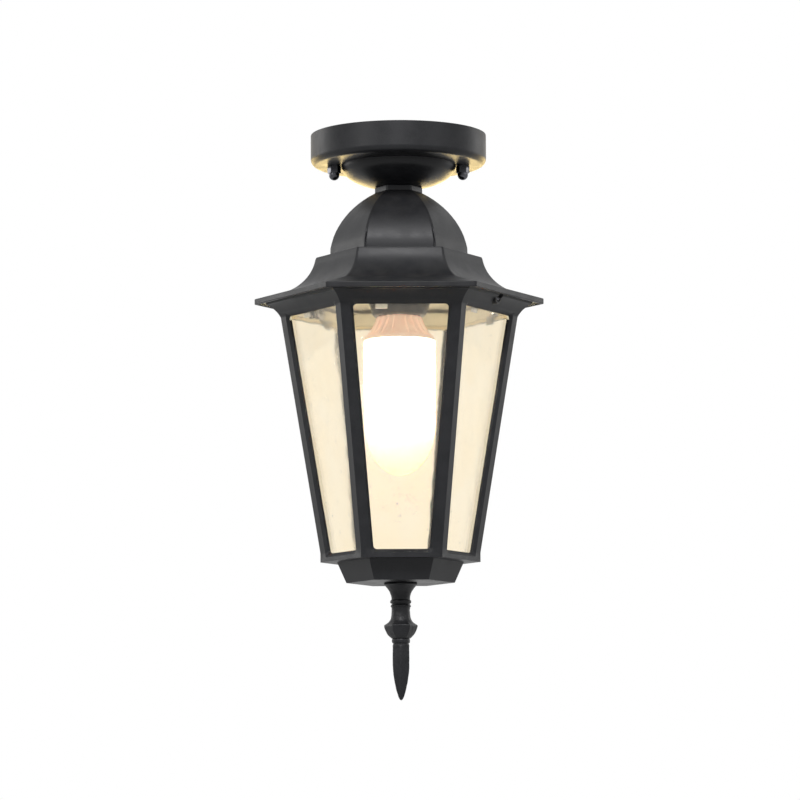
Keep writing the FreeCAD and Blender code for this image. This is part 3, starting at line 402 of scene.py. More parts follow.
@dataclass(frozen=True)
class PowderCoat:
    """Satin black powder coat, with a pale colour on its inner faces that paints the lamp's light
    on them.
    """

    name: str = "black_powder_coat"
    colour: Colour = (0.0085, 0.0090, 0.0105)
    lighter: Colour = (0.0140, 0.0145, 0.0162)
    worn: Colour = (0.050, 0.049, 0.047)
    dust: Colour = (0.17, 0.155, 0.13)
    # pale colour of the inner faces: painted lamplight, standing in for the lamp's glow on the
    # black inside
    painted_lamplight: Colour = (0.76, 0.70, 0.53)
    painted_lamplight_shade: float = 0.82
    roughness: Point2 = (0.35, 0.47)
    dust_roughness: float = 0.5
    inside_roughness: float = 0.3
    sheltered_gloss: float = 0.05
    specular: float = 0.2
    grain_size: float = 0.8
    unevenness: float = 1.6
    grain_depth: float = 0.03
    wear: float = 0.45
    dust_amount: float = 0.07

    def build(self) -> bpy.types.Material:
        """The finish as a material."""
        finish = Finish(self.name)
        sheet = finish.sheet
        skin = finish.skin(self.grain_size, self.unevenness)
        worn = finish.mask("edge_wear", self.wear)
        dusty = finish.mask("settled_dust", self.dust_amount)
        # the inside attribute marks the faces that take the painted lamplight
        inside, sheltered = sheet.attribute("inside"), sheet.attribute("sheltered")
        mottle = skin["Mottle"]
        coat = sheet.blend(sheet.spread(mottle, *MIDDLE), rgba(self.colour), rgba(self.lighter))
        coat = sheet.blend(worn, coat, rgba(self.worn))
        coat = sheet.blend(dusty, coat, rgba(self.dust))
        # painted lamplight: a pale colour on the faces marked inside
        painted_lamplight = sheet.blend(sheet.spread(mottle, *USUAL), rgba(self.painted_lamplight),
                             rgba(self.painted_lamplight, self.painted_lamplight_shade))
        rough = sheet.plus(sheet.spread(mottle, *USUAL, *self.roughness),
                           sheet.times(dusty, self.dust_roughness),
                           sheet.times(inside, self.inside_roughness))
        rough = sheet.minus(rough, sheet.times(sheltered, self.sheltered_gloss))
        finish.feed(Base_Color=sheet.blend(inside, coat, painted_lamplight), Roughness=rough)
        finish.set(Specular_IOR_Level=self.specular)
        finish.bump(skin["Height"], self.grain_depth)
        return finish.material


@dataclass(frozen=True)
class Metal:
    """Bare or plated metal with fine marks."""

    name: str
    colour: Colour
    tarnish: Colour
    roughness: float = 0.3
    stretch: tuple[float, float, float] = (1.0, 1.0, 12.0)
    depth: float = 0.004
    wear: float = 0.6
    rubbed_shade: float = 1.15
    smudged: Point2 = (0.35, 0.7)
    dulled: Point2 = (0.3, 0.75)
    glossier: float = 0.07
    duller: float = 0.12

    def build(self) -> bpy.types.Material:
        """The finish as a material."""
        finish = Finish(self.name)
        sheet = finish.sheet
        marks = EFFECTS.place(sheet, "fine_scratches", {"Stretch": self.stretch})
        worn = finish.mask("edge_wear", self.wear)
        smudge = marks["Smudge"]
        base = sheet.blend(sheet.spread(smudge, *self.smudged), rgba(self.colour),
                           rgba(self.tarnish))
        rough = sheet.spread(smudge, *self.dulled, self.roughness - self.glossier,
                             self.roughness + self.duller)
        finish.feed(Base_Color=sheet.blend(worn, base, rgba(self.colour, self.rubbed_shade)),
                    Roughness=rough)
        finish.set(Metallic=1.0)
        finish.bump(marks["Height"], self.depth)
        return finish.material


@dataclass(frozen=True)
class Moulded:
    """Moulded plastic, phenolic or fired porcelain."""

    name: str
    colour: Colour
    other: Colour
    roughness: float = 0.4
    grain_size: float = 0.5
    depth: float = 0.01
    coat: float = 0.0
    # emission strength; on the lamp housing this is painted light, a glow on a part that gives none
    glow: float = 0.0
    coat_roughness: float = 0.08
    glossier: float = 0.06
    duller: float = 0.08
    unevenness: float = 0.4
    dust: Colour = (0.2, 0.19, 0.16)
    dust_amount: float = 0.2

    def build(self) -> bpy.types.Material:
        """The finish as a material."""
        finish = Finish(self.name)
        sheet = finish.sheet
        skin = finish.skin(self.grain_size, self.unevenness)
        dusty = finish.mask("settled_dust", self.dust_amount)
        mottle = skin["Mottle"]
        base = sheet.blend(sheet.spread(mottle, *USUAL), rgba(self.colour), rgba(self.other))
        base = sheet.blend(dusty, base, rgba(self.dust))
        rough = sheet.spread(mottle, *USUAL, self.roughness - self.glossier,
                             self.roughness + self.duller)
        # where glow is above 0 the moulding shines with painted light
        finish.feed(Base_Color=base, Emission_Color=base, Roughness=rough)
        finish.set(Emission_Strength=self.glow, Coat_Weight=self.coat,
                   Coat_Roughness=self.coat_roughness)
        finish.bump(skin["Height"], self.depth)
        return finish.material


@dataclass(frozen=True)
class SeededGlass:
    """Clear rolled glass with ripples and seeds, and a cream cast that paints the lamp's warm glow
    into the panes.
    """

    name: str = "seeded_glass"
    # cream cast of the glass: painted warm lamplight seen in the panes
    glow_tint: Colour = (1.0, 0.942, 0.820)
    deeper_glow_tint: Colour = (1.0, 0.930, 0.785)
    clear: Colour = (1.0, 1.0, 1.0)
    depth: float = 0.05
    seed_height: float = 0.35
    roughness: float = 0.07
    bending: float = 1.5
    light_let_through: float = 0.92

    def build(self) -> bpy.types.Material:
        """The finish as a material."""
        finish = Finish(self.name)
        sheet = finish.sheet
        waves = EFFECTS.place(sheet, "rolled_waves", {"Ripple": 1.0, "Seeds": self.seed_height})
        cloud = sheet.spread(sheet.grain(sheet.object_place(), SCALES.tint_clouds), *MIDDLE)
        # painted warm glow: the panes tinted cream, in clouds
        cast = sheet.blend(cloud, rgba(self.glow_tint), rgba(self.deeper_glow_tint))
        path = sheet.node("ShaderNodeLightPath").outputs
        unseen = sheet.math("MAXIMUM", path["Is Shadow Ray"], path["Is Diffuse Ray"])
        finish.feed(Base_Color=sheet.blend(sheet.attribute("seed"), cast, rgba(self.clear)),
                    Alpha=sheet.minus(1.0, sheet.times(unseen, self.light_let_through)))
        finish.set(Roughness=self.roughness, IOR=self.bending, Transmission_Weight=1.0)
        finish.bump(waves["Height"], self.depth)
        return finish.material


@dataclass(frozen=True)
class LitOpal:
    """Opal cover with the lamp alight inside, brightest at its collar."""

    name: str = "lit_opal"
    shell: Colour = (0.80, 0.77, 0.70)
    glow: Colour = (1.0, 0.92, 0.79)
    cooler: Colour = (1.0, 0.96, 0.89)
    dimmest: Colour = (0.050, 0.047, 0.040)
    fade_top: float = -150.0
    fade_bottom: float = -227.0
    fade_power: float = 1.8
    strength: float = 9.0
    roughness: float = 0.35
    depth_of_light: float = 0.2
    grain_size: float = 0.4
    unevenness: float = 0.3
    grain_depth: float = 0.01

    def build(self) -> bpy.types.Material:
        """The finish as a material."""
        finish = Finish(self.name)
        sheet = finish.sheet
        skin = finish.skin(self.grain_size, self.unevenness)
        mottle = sheet.spread(skin["Mottle"], *USUAL)
        height = sheet.split(sheet.object_place())[2]
        shine = sheet.math("POWER", sheet.spread(height, self.fade_bottom * MM,
                                                 self.fade_top * MM), self.fade_power)
        bright = sheet.blend(mottle, rgba(self.glow), rgba(self.cooler))
        finish.feed(Base_Color=sheet.blend(mottle, rgba(self.shell), rgba(self.glow)),
                    Emission_Color=sheet.blend(shine, rgba(self.dimmest), bright))
        finish.set(Emission_Strength=self.strength, Roughness=self.roughness,
                   Subsurface_Weight=self.depth_of_light)
        finish.bump(skin["Height"], self.grain_depth)
        return finish.material


@dataclass(frozen=True)
class LedBoard:
    """White board with yellow phosphor chips."""

    name: str = "led_board"
    board: Colour = (0.85, 0.85, 0.83)
    board_shade: float = 0.85
    phosphor: Colour = (0.85, 0.62, 0.08)
    plate_level: float = -143.45
    roughness: Point2 = (0.3, 0.45)
    grain_depth: float = 0.01

    def build(self) -> bpy.types.Material:
        """The finish as a material."""
        finish = Finish(self.name)
        sheet = finish.sheet
        place = sheet.object_place()
        chip = sheet.math("LESS_THAN", sheet.split(place)[2], self.plate_level * MM)
        grain = sheet.grain(place, SCALES.board_grain, 3.0)
        board = sheet.blend(grain, rgba(self.board), rgba(self.board, self.board_shade))
        finish.feed(Base_Color=sheet.blend(chip, board, rgba(self.phosphor)),
                    Roughness=sheet.spread(grain, *USUAL, *self.roughness))
        finish.bump(grain, self.grain_depth)
        return finish.material


ALIKE = (1.0, 1.0, 1.0)
FINISHES: dict[str, Any] = {
    "black_paint": PowderCoat(),
    "pane_glass": SeededGlass(),
    "zinc_steel": Metal("zinc_steel", (0.62, 0.63, 0.65), (0.46, 0.46, 0.44), 0.32),
    "dark_nickel": Metal("dark_nickel", (0.10, 0.10, 0.11), (0.05, 0.05, 0.055), 0.2, ALIKE),
    "brass": Metal("brass", (0.78, 0.56, 0.24), (0.50, 0.33, 0.13), 0.28),
    "white_plastic": Moulded("white_plastic", (0.80, 0.79, 0.74), (0.72, 0.71, 0.65), 0.4),
    "black_plastic": Moulded("black_phenolic", (0.018, 0.017, 0.016), (0.03, 0.028, 0.026), 0.3,
                             grain_size=0.6, depth=0.012, coat=0.15),
    "porcelain": Moulded("porcelain", (0.82, 0.80, 0.74), (0.74, 0.71, 0.64), 0.25,
                         grain_size=1.5, depth=0.02, coat=0.6),
    "solder": Metal("solder", (0.58, 0.58, 0.57), (0.38, 0.38, 0.38), 0.4, ALIKE, 0.01),
    "black_insulator": Moulded("black_insulator", (0.012, 0.010, 0.018), (0.02, 0.016, 0.03), 0.15,
                               grain_size=1.0, depth=0.005, coat=0.5),
    "nickel_cap": Metal("nickel_cap", (0.70, 0.68, 0.64), (0.50, 0.47, 0.42), 0.22, ALIKE),
    # the housing's glow is painted light: it shines as if lit by the lamp, though it gives no light
    "lamp_housing": Moulded("lamp_housing", (0.92, 0.72, 0.62), (0.88, 0.65, 0.54), 0.42,
                            grain_size=0.6, glow=0.42),
    "led_board": LedBoard(),
    "opal_cover": LitOpal(),
}


@dataclass
class FinishShelf:
    """Each finish as one material, shared by all pieces of its slot."""

    made: dict[str, bpy.types.Material] = field(default_factory=dict)

    def get(self, slot: str) -> bpy.types.Material:
        """The material for a slot of the record, built on first use."""
        if slot not in self.made:
            self.made[slot] = FINISHES[slot].build()
        return self.made[slot]


SHELF = FinishShelf()


# ---------------------------------------------------------------- outlines and meshes


def arc_points(start: Point2, end: Point2, bulge: float, steps: int = 12) -> list[Point2]:
    """Points along an arc that bows left of its travel, without its start."""
    chord = math.dist(start, end)
    radius = (chord * chord / 4 + bulge * bulge) / (2 * abs(bulge))
    sweep = 2 * math.asin(min(1.0, chord / (2 * radius)))
    along = ((end[0] - start[0]) / chord, (end[1] - start[1]) / chord)
    side = math.copysign(1.0, bulge)
    left = (-along[1] * side, along[0] * side)
    middle = ((start[0] + end[0]) / 2, (start[1] + end[1]) / 2)
    back = radius - abs(bulge)
    points = []
    for number in range(1, steps + 1):
        angle = -sweep / 2 + sweep * number / steps
        across, up = radius * math.sin(angle), radius * math.cos(angle) - back
        points.append((middle[0] + along[0] * across + left[0] * up,
                       middle[1] + along[1] * across + left[1] * up))
    points[-1] = end
    return points


def softened(points: Sequence[Point2], radius: float, steps: int = 3) -> list[Point2]:
    """Rounds the sharp corners of a closed outline.

    Args:
        points: the outline.
        radius: largest rounding; short edges take less.
        steps: edges along each rounding.

    Returns:
        The rounded outline.
    """
    straight_enough, most_of_edge = math.radians(14), 0.42
    result: list[Point2] = []
    for number, here in enumerate(points):
        before, after = points[number - 1], points[(number + 1) % len(points)]
        into = Vector((here[0] - before[0], here[1] - before[1]))
        out = Vector((after[0] - here[0], after[1] - here[1]))
        turn = into.angle(out, 0.0)
        if turn < straight_enough:
            result.append(here)
            continue
        reach = min(radius * math.tan(turn / 2), most_of_edge * into.length,
                    most_of_edge * out.length)
        first = Vector(here) - into.normalized() * reach
        last = Vector(here) + out.normalized() * reach
        for step in range(steps + 1):
            share = step / steps
            point = (first * (1 - share) ** 2 + Vector(here) * 2 * share * (1 - share)
                     + last * share ** 2)
            result.append((point.x, point.y))
    return result


def traced(start: Point2, *steps: Sequence[float]) -> list[Point2]:
    """Outline from points (x, z) and arcs (x, z, bulge)."""
    points = [start]
    for step in steps:
        if len(step) == 3:
            points.extend(arc_points(points[-1], (step[0], step[1]), step[2]))
        else:
            points.append((step[0], step[1]))
    return points


def mesh_from(name: str, vertices: Iterable[Sequence[float]],
              faces: Iterable[Sequence[int]]) -> bpy.types.Mesh:
    """A mesh from vertices in millimetres and faces."""
    mesh = bpy.data.meshes.new(name)
    mesh.from_pydata([tuple(MM * part for part in vertex) for vertex in vertices], [], list(faces))
    return mesh


def tidied(mesh: bpy.types.Mesh) -> bpy.types.Mesh:
    """Merges doubles and turns the faces of closed shells outwards."""
    no_length = 1e-7
    work = bmesh.new()
    work.from_mesh(mesh)
    bmesh.ops.remove_doubles(work, verts=work.verts, dist=SAME_PLACE * MM)
    bmesh.ops.dissolve_degenerate(work, dist=no_length, edges=work.edges)
    bmesh.ops.recalc_face_normals(work, faces=work.faces)
    work.to_mesh(mesh)
    work.free()
    return mesh


def joined(name: str, meshes: Sequence[bpy.types.Mesh]) -> bpy.types.Mesh:
    """Several meshes as one."""
    work = bmesh.new()
    for mesh in meshes:
        work.from_mesh(mesh)
    whole = bpy.data.meshes.new(name)
    work.to_mesh(whole)
    work.free()
    return whole


def slot_of(node: str) -> str:
    """The record's material slot of a construction node."""
    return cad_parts[node].data.materials[0].name.split(".")[0]


def node_copy(node: str, flat_degrees: float = 0.6, most_corners: int = 20) -> bpy.types.Mesh:
    """Copy of a construction node's mesh with its doubles merged and flat faces made whole.

    Args:
        node: the construction node.
        flat_degrees: faces that bend less than this against each other are joined.
        most_corners: a joined face with more corners, such as a ring, is cut into triangles.

    Returns:
        The copy.
    """
    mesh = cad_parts[node].data.copy()
    work = bmesh.new()
    work.from_mesh(mesh)
    bmesh.ops.remove_doubles(work, verts=work.verts, dist=SAME_PLACE * MM)
    bmesh.ops.dissolve_limit(work, angle_limit=math.radians(flat_degrees), verts=work.verts,
                             edges=work.edges)
    rings = [face for face in work.faces if len(face.verts) > most_corners]
    bmesh.ops.triangulate(work, faces=rings)
    work.to_mesh(mesh)
    work.free()
    return mesh


def mark(mesh: bpy.types.Mesh, name: str, rule: Callable[[Vector, Vector], float]) -> None:
    """Writes an attribute of each face from its middle in millimetres and its normal."""
    values = mesh.attributes.new(name, "FLOAT", "FACE")
    marks = [rule(face.center / MM, face.normal) for face in mesh.polygons]
    values.data.foreach_set("value", marks)


def mark_edges(mesh: bpy.types.Mesh, degrees: float = 16.0, width_mm: float = 1.0) -> None:
    """Writes the edge attribute: 1 on the narrow faces of rounded edges, 0 elsewhere."""
    work = bmesh.new()
    work.from_mesh(mesh)
    flags = []
    for face in work.faces:
        longest = max(edge.calc_length() for edge in face.edges)
        bend = max(edge.calc_face_angle(0.0) for edge in face.edges)
        narrow = face.calc_area() < longest * width_mm * MM
        flags.append(1.0 if narrow and bend > math.radians(degrees) else 0.0)
    work.free()
    values = mesh.attributes.new("edge", "FLOAT", "FACE")
    values.data.foreach_set("value", flags)


def evaluated_mesh(holder: bpy.types.Object) -> bpy.types.Mesh:
    """A plain mesh of an object with its modifiers applied."""
    depsgraph = bpy.context.evaluated_depsgraph_get()
    return bpy.data.meshes.new_from_object(holder.evaluated_get(depsgraph),
                                           preserve_all_data_layers=True, depsgraph=depsgraph)


@dataclass
class Workshop:
    """Turns meshes into pieces of the lantern."""

    made: dict[str, bpy.types.Object] = field(default_factory=dict)
    rounding_steps: int = 2
    node_degrees: float = 32.0
    large_face_weight: int = 60

    def finish_modifiers(self, mesh: bpy.types.Mesh, bevel_mm: float,
                         degrees: float = 30.0) -> bpy.types.Mesh:
        """Rounds the sharp edges of a mesh and shades it by face size.

        Args:
            mesh: the mesh to finish.
            bevel_mm: width of the rounding, 0 for none.
            degrees: edges that bend more than this are rounded.

        Returns:
            The finished mesh.
        """
        holder = bpy.data.objects.new("holder", mesh)
        bpy.context.scene.collection.objects.link(holder)
        if bevel_mm:
            bevel = holder.modifiers.new("rounding", "BEVEL")
            bevel.width = bevel_mm * MM
            bevel.segments = self.rounding_steps
            bevel.limit_method = "ANGLE"
            bevel.angle_limit = math.radians(degrees)
            bevel.use_clamp_overlap = True
            bevel.miter_outer = "MITER_ARC"
        mesh.shade_smooth()
        weighting = holder.modifiers.new("shading", "WEIGHTED_NORMAL")
        weighting.keep_sharp = True
        weighting.weight = self.large_face_weight
        result = evaluated_mesh(holder)
        bpy.data.objects.remove(holder)
        return result

    def piece(self, name: str, mesh: bpy.types.Mesh, body: Body, slot: str,
              replaces: Sequence[str]) -> None:
        """Adds a finished piece to the lantern.

        Args:
            name: the piece's name.
            mesh: its mesh, in place.
            body: the body it rides on.
            slot: the record's material slot it takes its finish from.
            replaces: construction nodes it stands for.
        """
        mesh.name = name
        mesh.materials.clear()
        mesh.materials.append(SHELF.get(slot))
        mesh.polygons.foreach_set("material_index", [0] * len(mesh.polygons))
        piece = bpy.data.objects.new(name, mesh)
        bpy.context.scene.collection.objects.link(piece)
        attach(piece, body.value)
        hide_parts(*replaces)
        self.made[name] = piece
        LOG.info("%s rides on %s, %d faces", name, body.value, len(mesh.polygons))

    def softened_nodes(self, body: Body, bevel_mm: float, *nodes: str) -> None:
        """Replaces construction nodes by copies of themselves with rounded edges.

        Args:
            body: the body they ride on.
            bevel_mm: width of the rounding, 0 for none.
            nodes: the construction nodes.
        """
        for node in nodes:
            mesh = self.finish_modifiers(node_copy(node), bevel_mm, self.node_degrees)
            mark_edges(mesh)
            self.piece(node + "_finished", mesh, body, slot_of(node), [node])


WORKSHOP = Workshop()


# ---------------------------------------------------------------- geometry trees

SIXTH = math.radians(60)


class GrowthTrees(TreeShelf):
    """Geometry trees for what repeats or follows a rule."""

    def grow(self, name: str, source: bpy.types.Mesh, values: dict[str, Any]) -> bpy.types.Mesh:
        """Runs a tree and returns its result as a plain mesh.

        Args:
            name: the tree's name.
            source: the mesh the tree starts from.
            values: input values by name.

        Returns:
            The grown mesh.
        """
        tree = self.get(name)
        holder = bpy.data.objects.new("grown_" + name, source)
        bpy.context.scene.collection.objects.link(holder)
        modifier = holder.modifiers.new("growth", "NODES")
        modifier.node_group = tree
        for item in tree.interface.items_tree:
            if item.item_type == "SOCKET" and item.in_out == "INPUT" and item.name in values:
                modifier[item.identifier] = values[item.name]
        mesh = evaluated_mesh(holder)
        holder.modifiers.remove(modifier)
        bpy.data.objects.remove(holder)
        return mesh

    def _hex_casting(self) -> bpy.types.NodeTree:
        """Carries an outline round a hexagon with rounded corners.

        The source is a closed chain of points (distance to the side, 0, level).
        """
        most_of_corner, groove_reach = 0.5, math.radians(24)
        sheet, given, result = new_group(
            "hex_casting", "GeometryNodeTree",
            {"Outline": (GEOMETRY, None), "Outline Points": (INTEGER, 8),
             "Corner Steps": (INTEGER, 4), "Corner Rounding": (FLOAT, 1.5 * MM),
             "Hip Groove": (FLOAT, 0.0), "Finish": (MATERIAL, None)}, {"Casting": GEOMETRY})
        points, steps = given["Outline Points"], given["Corner Steps"]
        grid, row, column = self._woven(sheet, points, sheet.times(steps, 6.0))
        along = sheet.math("MODULO", row, points)
        out, _, level = self._point(sheet, given["Outline"], along)
        grooved = self._read(sheet, given["Outline"], "groove", along)
        corner_distance = sheet.math("DIVIDE", out, FLAT_SHARE)
        rounding = sheet.math("MINIMUM", given["Corner Rounding"],
                              sheet.times(corner_distance, most_of_corner))
        corner = sheet.math("FLOOR", sheet.math("DIVIDE", column, steps))
        step = sheet.minus(column, sheet.times(corner, steps))
        heading = sheet.times(corner, SIXTH)
        turn = sheet.times(sheet.math("DIVIDE", step, sheet.minus(steps, 1.0)), SIXTH)
        bearing = sheet.minus(sheet.plus(heading, turn), SIXTH / 2)
        centre = sheet.minus(corner_distance, sheet.math("DIVIDE", rounding, FLAT_SHARE))
        off_hip = sheet.math("ABSOLUTE", sheet.minus(turn, SIXTH / 2))
        on_hip = sheet.spread(off_hip, 0.0, groove_reach, 1.0, 0.0)
        reach = sheet.minus(rounding, sheet.times(on_hip, grooved, given["Hip Groove"]))
        x, y = (sheet.plus(sheet.times(centre, sheet.math(wave, heading)),
                           sheet.times(reach, sheet.math(wave, bearing)))
                for wave in ("COSINE", "SINE"))
        there = sheet.vector(x, y, level)
        self._close(sheet, self._placed(sheet, grid, there), given, result["Casting"])
        return sheet.tree

    def _turned_skin(self) -> bpy.types.NodeTree:
        """Carries a radius round the axis, with a thread, flats, flutes or hammer marks on it.

        The source is a chain of points (radius, 0, level) with its shares of each in attributes.
        There are six flats and six flutes.
        """
        ridge_sharpness, dent_scale, dents_along, dented_from = 0.7, 2.6, 160.0, 400.0
        sheet, given, result = new_group(
            "turned_skin", "GeometryNodeTree",
            {"Outline": (GEOMETRY, None), "Outline Points": (INTEGER, 8), "Around": (INTEGER, 48),
             "Pitch": (FLOAT, 1.0 * MM), "Thread Depth": (FLOAT, 0.5 * MM),
             "Flute Depth": (FLOAT, 0.0), "Hammer Depth": (FLOAT, 0.0),
             "Finish": (MATERIAL, None)}, {"Skin": GEOMETRY})
        source, around = given["Outline"], given["Around"]
        grid, row, column = self._woven(sheet, sheet.minus(given["Outline Points"], 1.0), around)
        out, _, level = self._point(sheet, source, row)
        bearing = sheet.times(sheet.math("DIVIDE", column, around), math.tau)
        cosine, sine = sheet.math("COSINE", bearing), sheet.math("SINE", bearing)
        climb = sheet.math("DIVIDE", sheet.times(level, math.tau), given["Pitch"])
        wave = sheet.minus(1.0, sheet.math("COSINE", sheet.minus(climb, bearing)))
        thread = sheet.times(wave, 0.5, given["Thread Depth"],
                             self._read(sheet, source, "thread", row))
        off_flat = sheet.minus(sheet.math("FLOORED_MODULO", bearing, SIXTH), SIXTH / 2)
        shrink = sheet.minus(1.0, sheet.math("DIVIDE", FLAT_SHARE, sheet.math("COSINE", off_flat)))
        flat = sheet.times(shrink, out, self._read(sheet, source, "hexness", row))
        lobes = sheet.plus(1.0, sheet.math("COSINE", sheet.times(bearing, 6.0)))
        ridge = sheet.math("POWER", sheet.times(lobes, 0.5), ridge_sharpness)
        flute = sheet.times(ridge, given["Flute Depth"], self._read(sheet, source, "flute", row))
        wound = sheet.vector(cosine, sine, sheet.times(level, dents_along))
        dents = sheet.minus(sheet.grain(wound, dent_scale), 0.5)
        hammer = sheet.times(dents, given["Hammer Depth"],
                             sheet.math("MINIMUM", sheet.times(out, dented_from), 1.0))
        radius = sheet.math("MAXIMUM", sheet.minus(out, thread, flat, flute, hammer), 0.0)
        there = sheet.vector(sheet.times(radius, cosine), sheet.times(radius, sine), level)
        self._close(sheet, self._placed(sheet, grid, there), given, result["Skin"])
        return sheet.tree

    def _ring_of(self) -> bpy.types.NodeTree:
        """Places copies of one form round the lantern's axis."""
        sheet, given, result = new_group(
            "ring_of", "GeometryNodeTree",
            {"Form": (GEOMETRY, None), "Count": (INTEGER, 6), "First Angle": (FLOAT, 0.0),
             "Finish": (MATERIAL, None)}, {"Ring": GEOMETRY})
        spots = sheet.node("GeometryNodePoints", {"Count": given["Count"],
                                                  "Position": (0.0, 0.0, 0.0)})
        index = sheet.node("GeometryNodeInputIndex").outputs[0]
        turned_by = sheet.math("DIVIDE", sheet.times(index, math.tau), given["Count"])
        turn = sheet.vector(z=sheet.plus(given["First Angle"], turned_by))
        placed = sheet.node("GeometryNodeInstanceOnPoints", {
            "Points": spots.outputs[0], "Instance": given["Form"], "Rotation": turn})
        self._dress(sheet, placed.outputs[0], given, result["Ring"])
        return sheet.tree

    def _rippled_pane(self) -> bpy.types.NodeTree:
        """Gives a plain slab the ripples of rolled glass and strews small seeds over it."""
        cluster_height, cluster_width, flatness, longest = (0.008, 0.018), (0.008, 0.014), 0.08, 2.2
        sheet, given, result = new_group(
            "rippled_pane", "GeometryNodeTree",
            {"Slab": (GEOMETRY, None), "Cuts": (INTEGER, 6), "Ripple Depth": (FLOAT, 0.2 * MM),
             "Ripple Scale": (FLOAT, 70.0), "Seeds Per Area": (FLOAT, 6000.0),
             "Cluster": (FLOAT, 0.0), "Cluster Level": (FLOAT, -0.258),
             "Smallest": (FLOAT, 0.20 * MM), "Largest": (FLOAT, 0.55 * MM),
             "Random Seed": (INTEGER, 4), "Finish": (MATERIAL, None)}, {"Pane": GEOMETRY})
        cut = sheet.node("GeometryNodeSubdivideMesh", {"Mesh": given["Slab"],
                                                       "Level": given["Cuts"]})
        place = sheet.node("GeometryNodeInputPosition").outputs[0]
        normal = sheet.node("GeometryNodeInputNormal").outputs[0]
        ripple = sheet.grain(place, given["Ripple Scale"], 1.0, 0.4)
        depth = sheet.times(ripple, given["Ripple Depth"], -1.0)
        offset = sheet.node("ShaderNodeVectorMath", {0: normal, "Scale": depth}, operation="SCALE")
        pane = sheet.node("GeometryNodeSetPosition", {"Geometry": cut.outputs[0],
                                                      "Offset": offset.outputs[0]}).outputs[0]
        aside, _, level = sheet.split(place)
        above = sheet.math("ABSOLUTE", sheet.minus(level, given["Cluster Level"]))
        near = sheet.times(sheet.spread(above, *cluster_height, 1.0, 0.0),
                           sheet.spread(sheet.math("ABSOLUTE", aside), *cluster_width, 1.0, 0.0))
        crowd = sheet.plus(1.0, sheet.times(near, given["Cluster"]))
        spots = sheet.node("GeometryNodeDistributePointsOnFaces", {
            "Mesh": pane, "Density": sheet.times(crowd, given["Seeds Per Area"]),
            "Seed": given["Random Seed"]}).outputs
        ball = sheet.node("GeometryNodeMeshIcoSphere", {"Radius": 1.0, "Subdivisions": 2})
        drop = sheet.node("GeometryNodeStoreNamedAttribute", {
            "Geometry": ball.outputs[0], "Name": "seed", "Value": 1.0},
            data_type="FLOAT", domain="POINT")
        size = sheet.node("FunctionNodeRandomValue", {
            2: given["Smallest"], 3: given["Largest"], "Seed": given["Random Seed"]},
            data_type="FLOAT").outputs[1]
        stretch = sheet.node("FunctionNodeRandomValue", {2: 1.0, 3: longest, "Seed": 11},
                             data_type="FLOAT").outputs[1]
        scale = sheet.vector(size, sheet.times(size, stretch), sheet.times(size, flatness))
        placed = sheet.node("GeometryNodeInstanceOnPoints", {
            "Points": spots["Points"], "Instance": drop.outputs[0],
            "Rotation": spots["Rotation"], "Scale": scale})
        both = sheet.node("GeometryNodeJoinGeometry")
        sheet.link(placed.outputs[0], both.inputs[0])
        sheet.link(pane, both.inputs[0])
        self._dress(sheet, both.outputs[0], given, result["Pane"], smooth=True)
        return sheet.tree

    def _woven(self, sheet: Sheet, rows: Socket, columns: Socket) -> tuple[Socket, Socket, Socket]:
        """A grid with that many steps each way, and each point's row and column."""
        edge = 0.5
        grid = sheet.node("GeometryNodeMeshGrid", {
            "Size X": 1.0, "Size Y": 1.0, "Vertices X": sheet.plus(rows, 1.0),
            "Vertices Y": sheet.plus(columns, 1.0)})
        x, y, _ = sheet.split(sheet.node("GeometryNodeInputPosition").outputs[0])
        row, column = (sheet.math("ROUND", sheet.times(sheet.plus(part, edge), steps))
                       for part, steps in ((x, rows), (y, columns)))
        return grid.outputs["Mesh"], row, column

    def _held(self, sheet: Sheet, source: Socket, value: Socket, index: Socket,
              kind: str) -> Socket:
        """A value that the source holds at one of its points."""
        return sheet.node("GeometryNodeSampleIndex", {"Geometry": source, "Value": value,
                                                      "Index": index},
                          data_type=kind, domain="POINT").outputs[0]

    def _point(self, sheet: Sheet, source: Socket, index: Socket) -> tuple[Socket, Socket, Socket]:
        """The place of one of the source's points."""
        place = sheet.node("GeometryNodeInputPosition").outputs[0]
        return sheet.split(self._held(sheet, source, place, index, "FLOAT_VECTOR"))

    def _read(self, sheet: Sheet, source: Socket, name: str, index: Socket) -> Socket:
        """A number that the source holds under a name at one of its points."""
        named = sheet.node("GeometryNodeInputNamedAttribute", {"Name": name}, data_type="FLOAT")
        return self._held(sheet, source, named.outputs[0], index, "FLOAT")

    def _placed(self, sheet: Sheet, grid: Socket, there: Socket) -> Socket:
        """The grid with each of its points where it belongs."""
        return sheet.node("GeometryNodeSetPosition", {"Geometry": grid,
                                                      "Position": there}).outputs[0]

    def _close(self, sheet: Sheet, shape: Socket, given: Sockets, end: Socket) -> None:
        """Ends a tree whose shape meets itself: closes its seams, then dresses it."""
        closed = sheet.node("GeometryNodeMergeByDistance", {"Geometry": shape,
                                                            "Distance": SAME_PLACE * MM})
        self._dress(sheet, closed.outputs[0], given, end, smooth=True)

    def _dress(self, sheet: Sheet, shape: Socket, given: Sockets, end: Socket,
               smooth: bool = False) -> None:
        """Ends a tree: realizes its instances, shades it and sets its material."""
        shape = sheet.node("GeometryNodeRealizeInstances", {0: shape}).outputs[0]
        if smooth:
            shape = sheet.node("GeometryNodeSetShadeSmooth", {0: shape}).outputs[0]
        dressed = sheet.node("GeometryNodeSetMaterial", {"Geometry": shape,
                                                         "Material": given["Finish"]})
        sheet.link(dressed.outputs[0], end)


TREES = GrowthTrees()


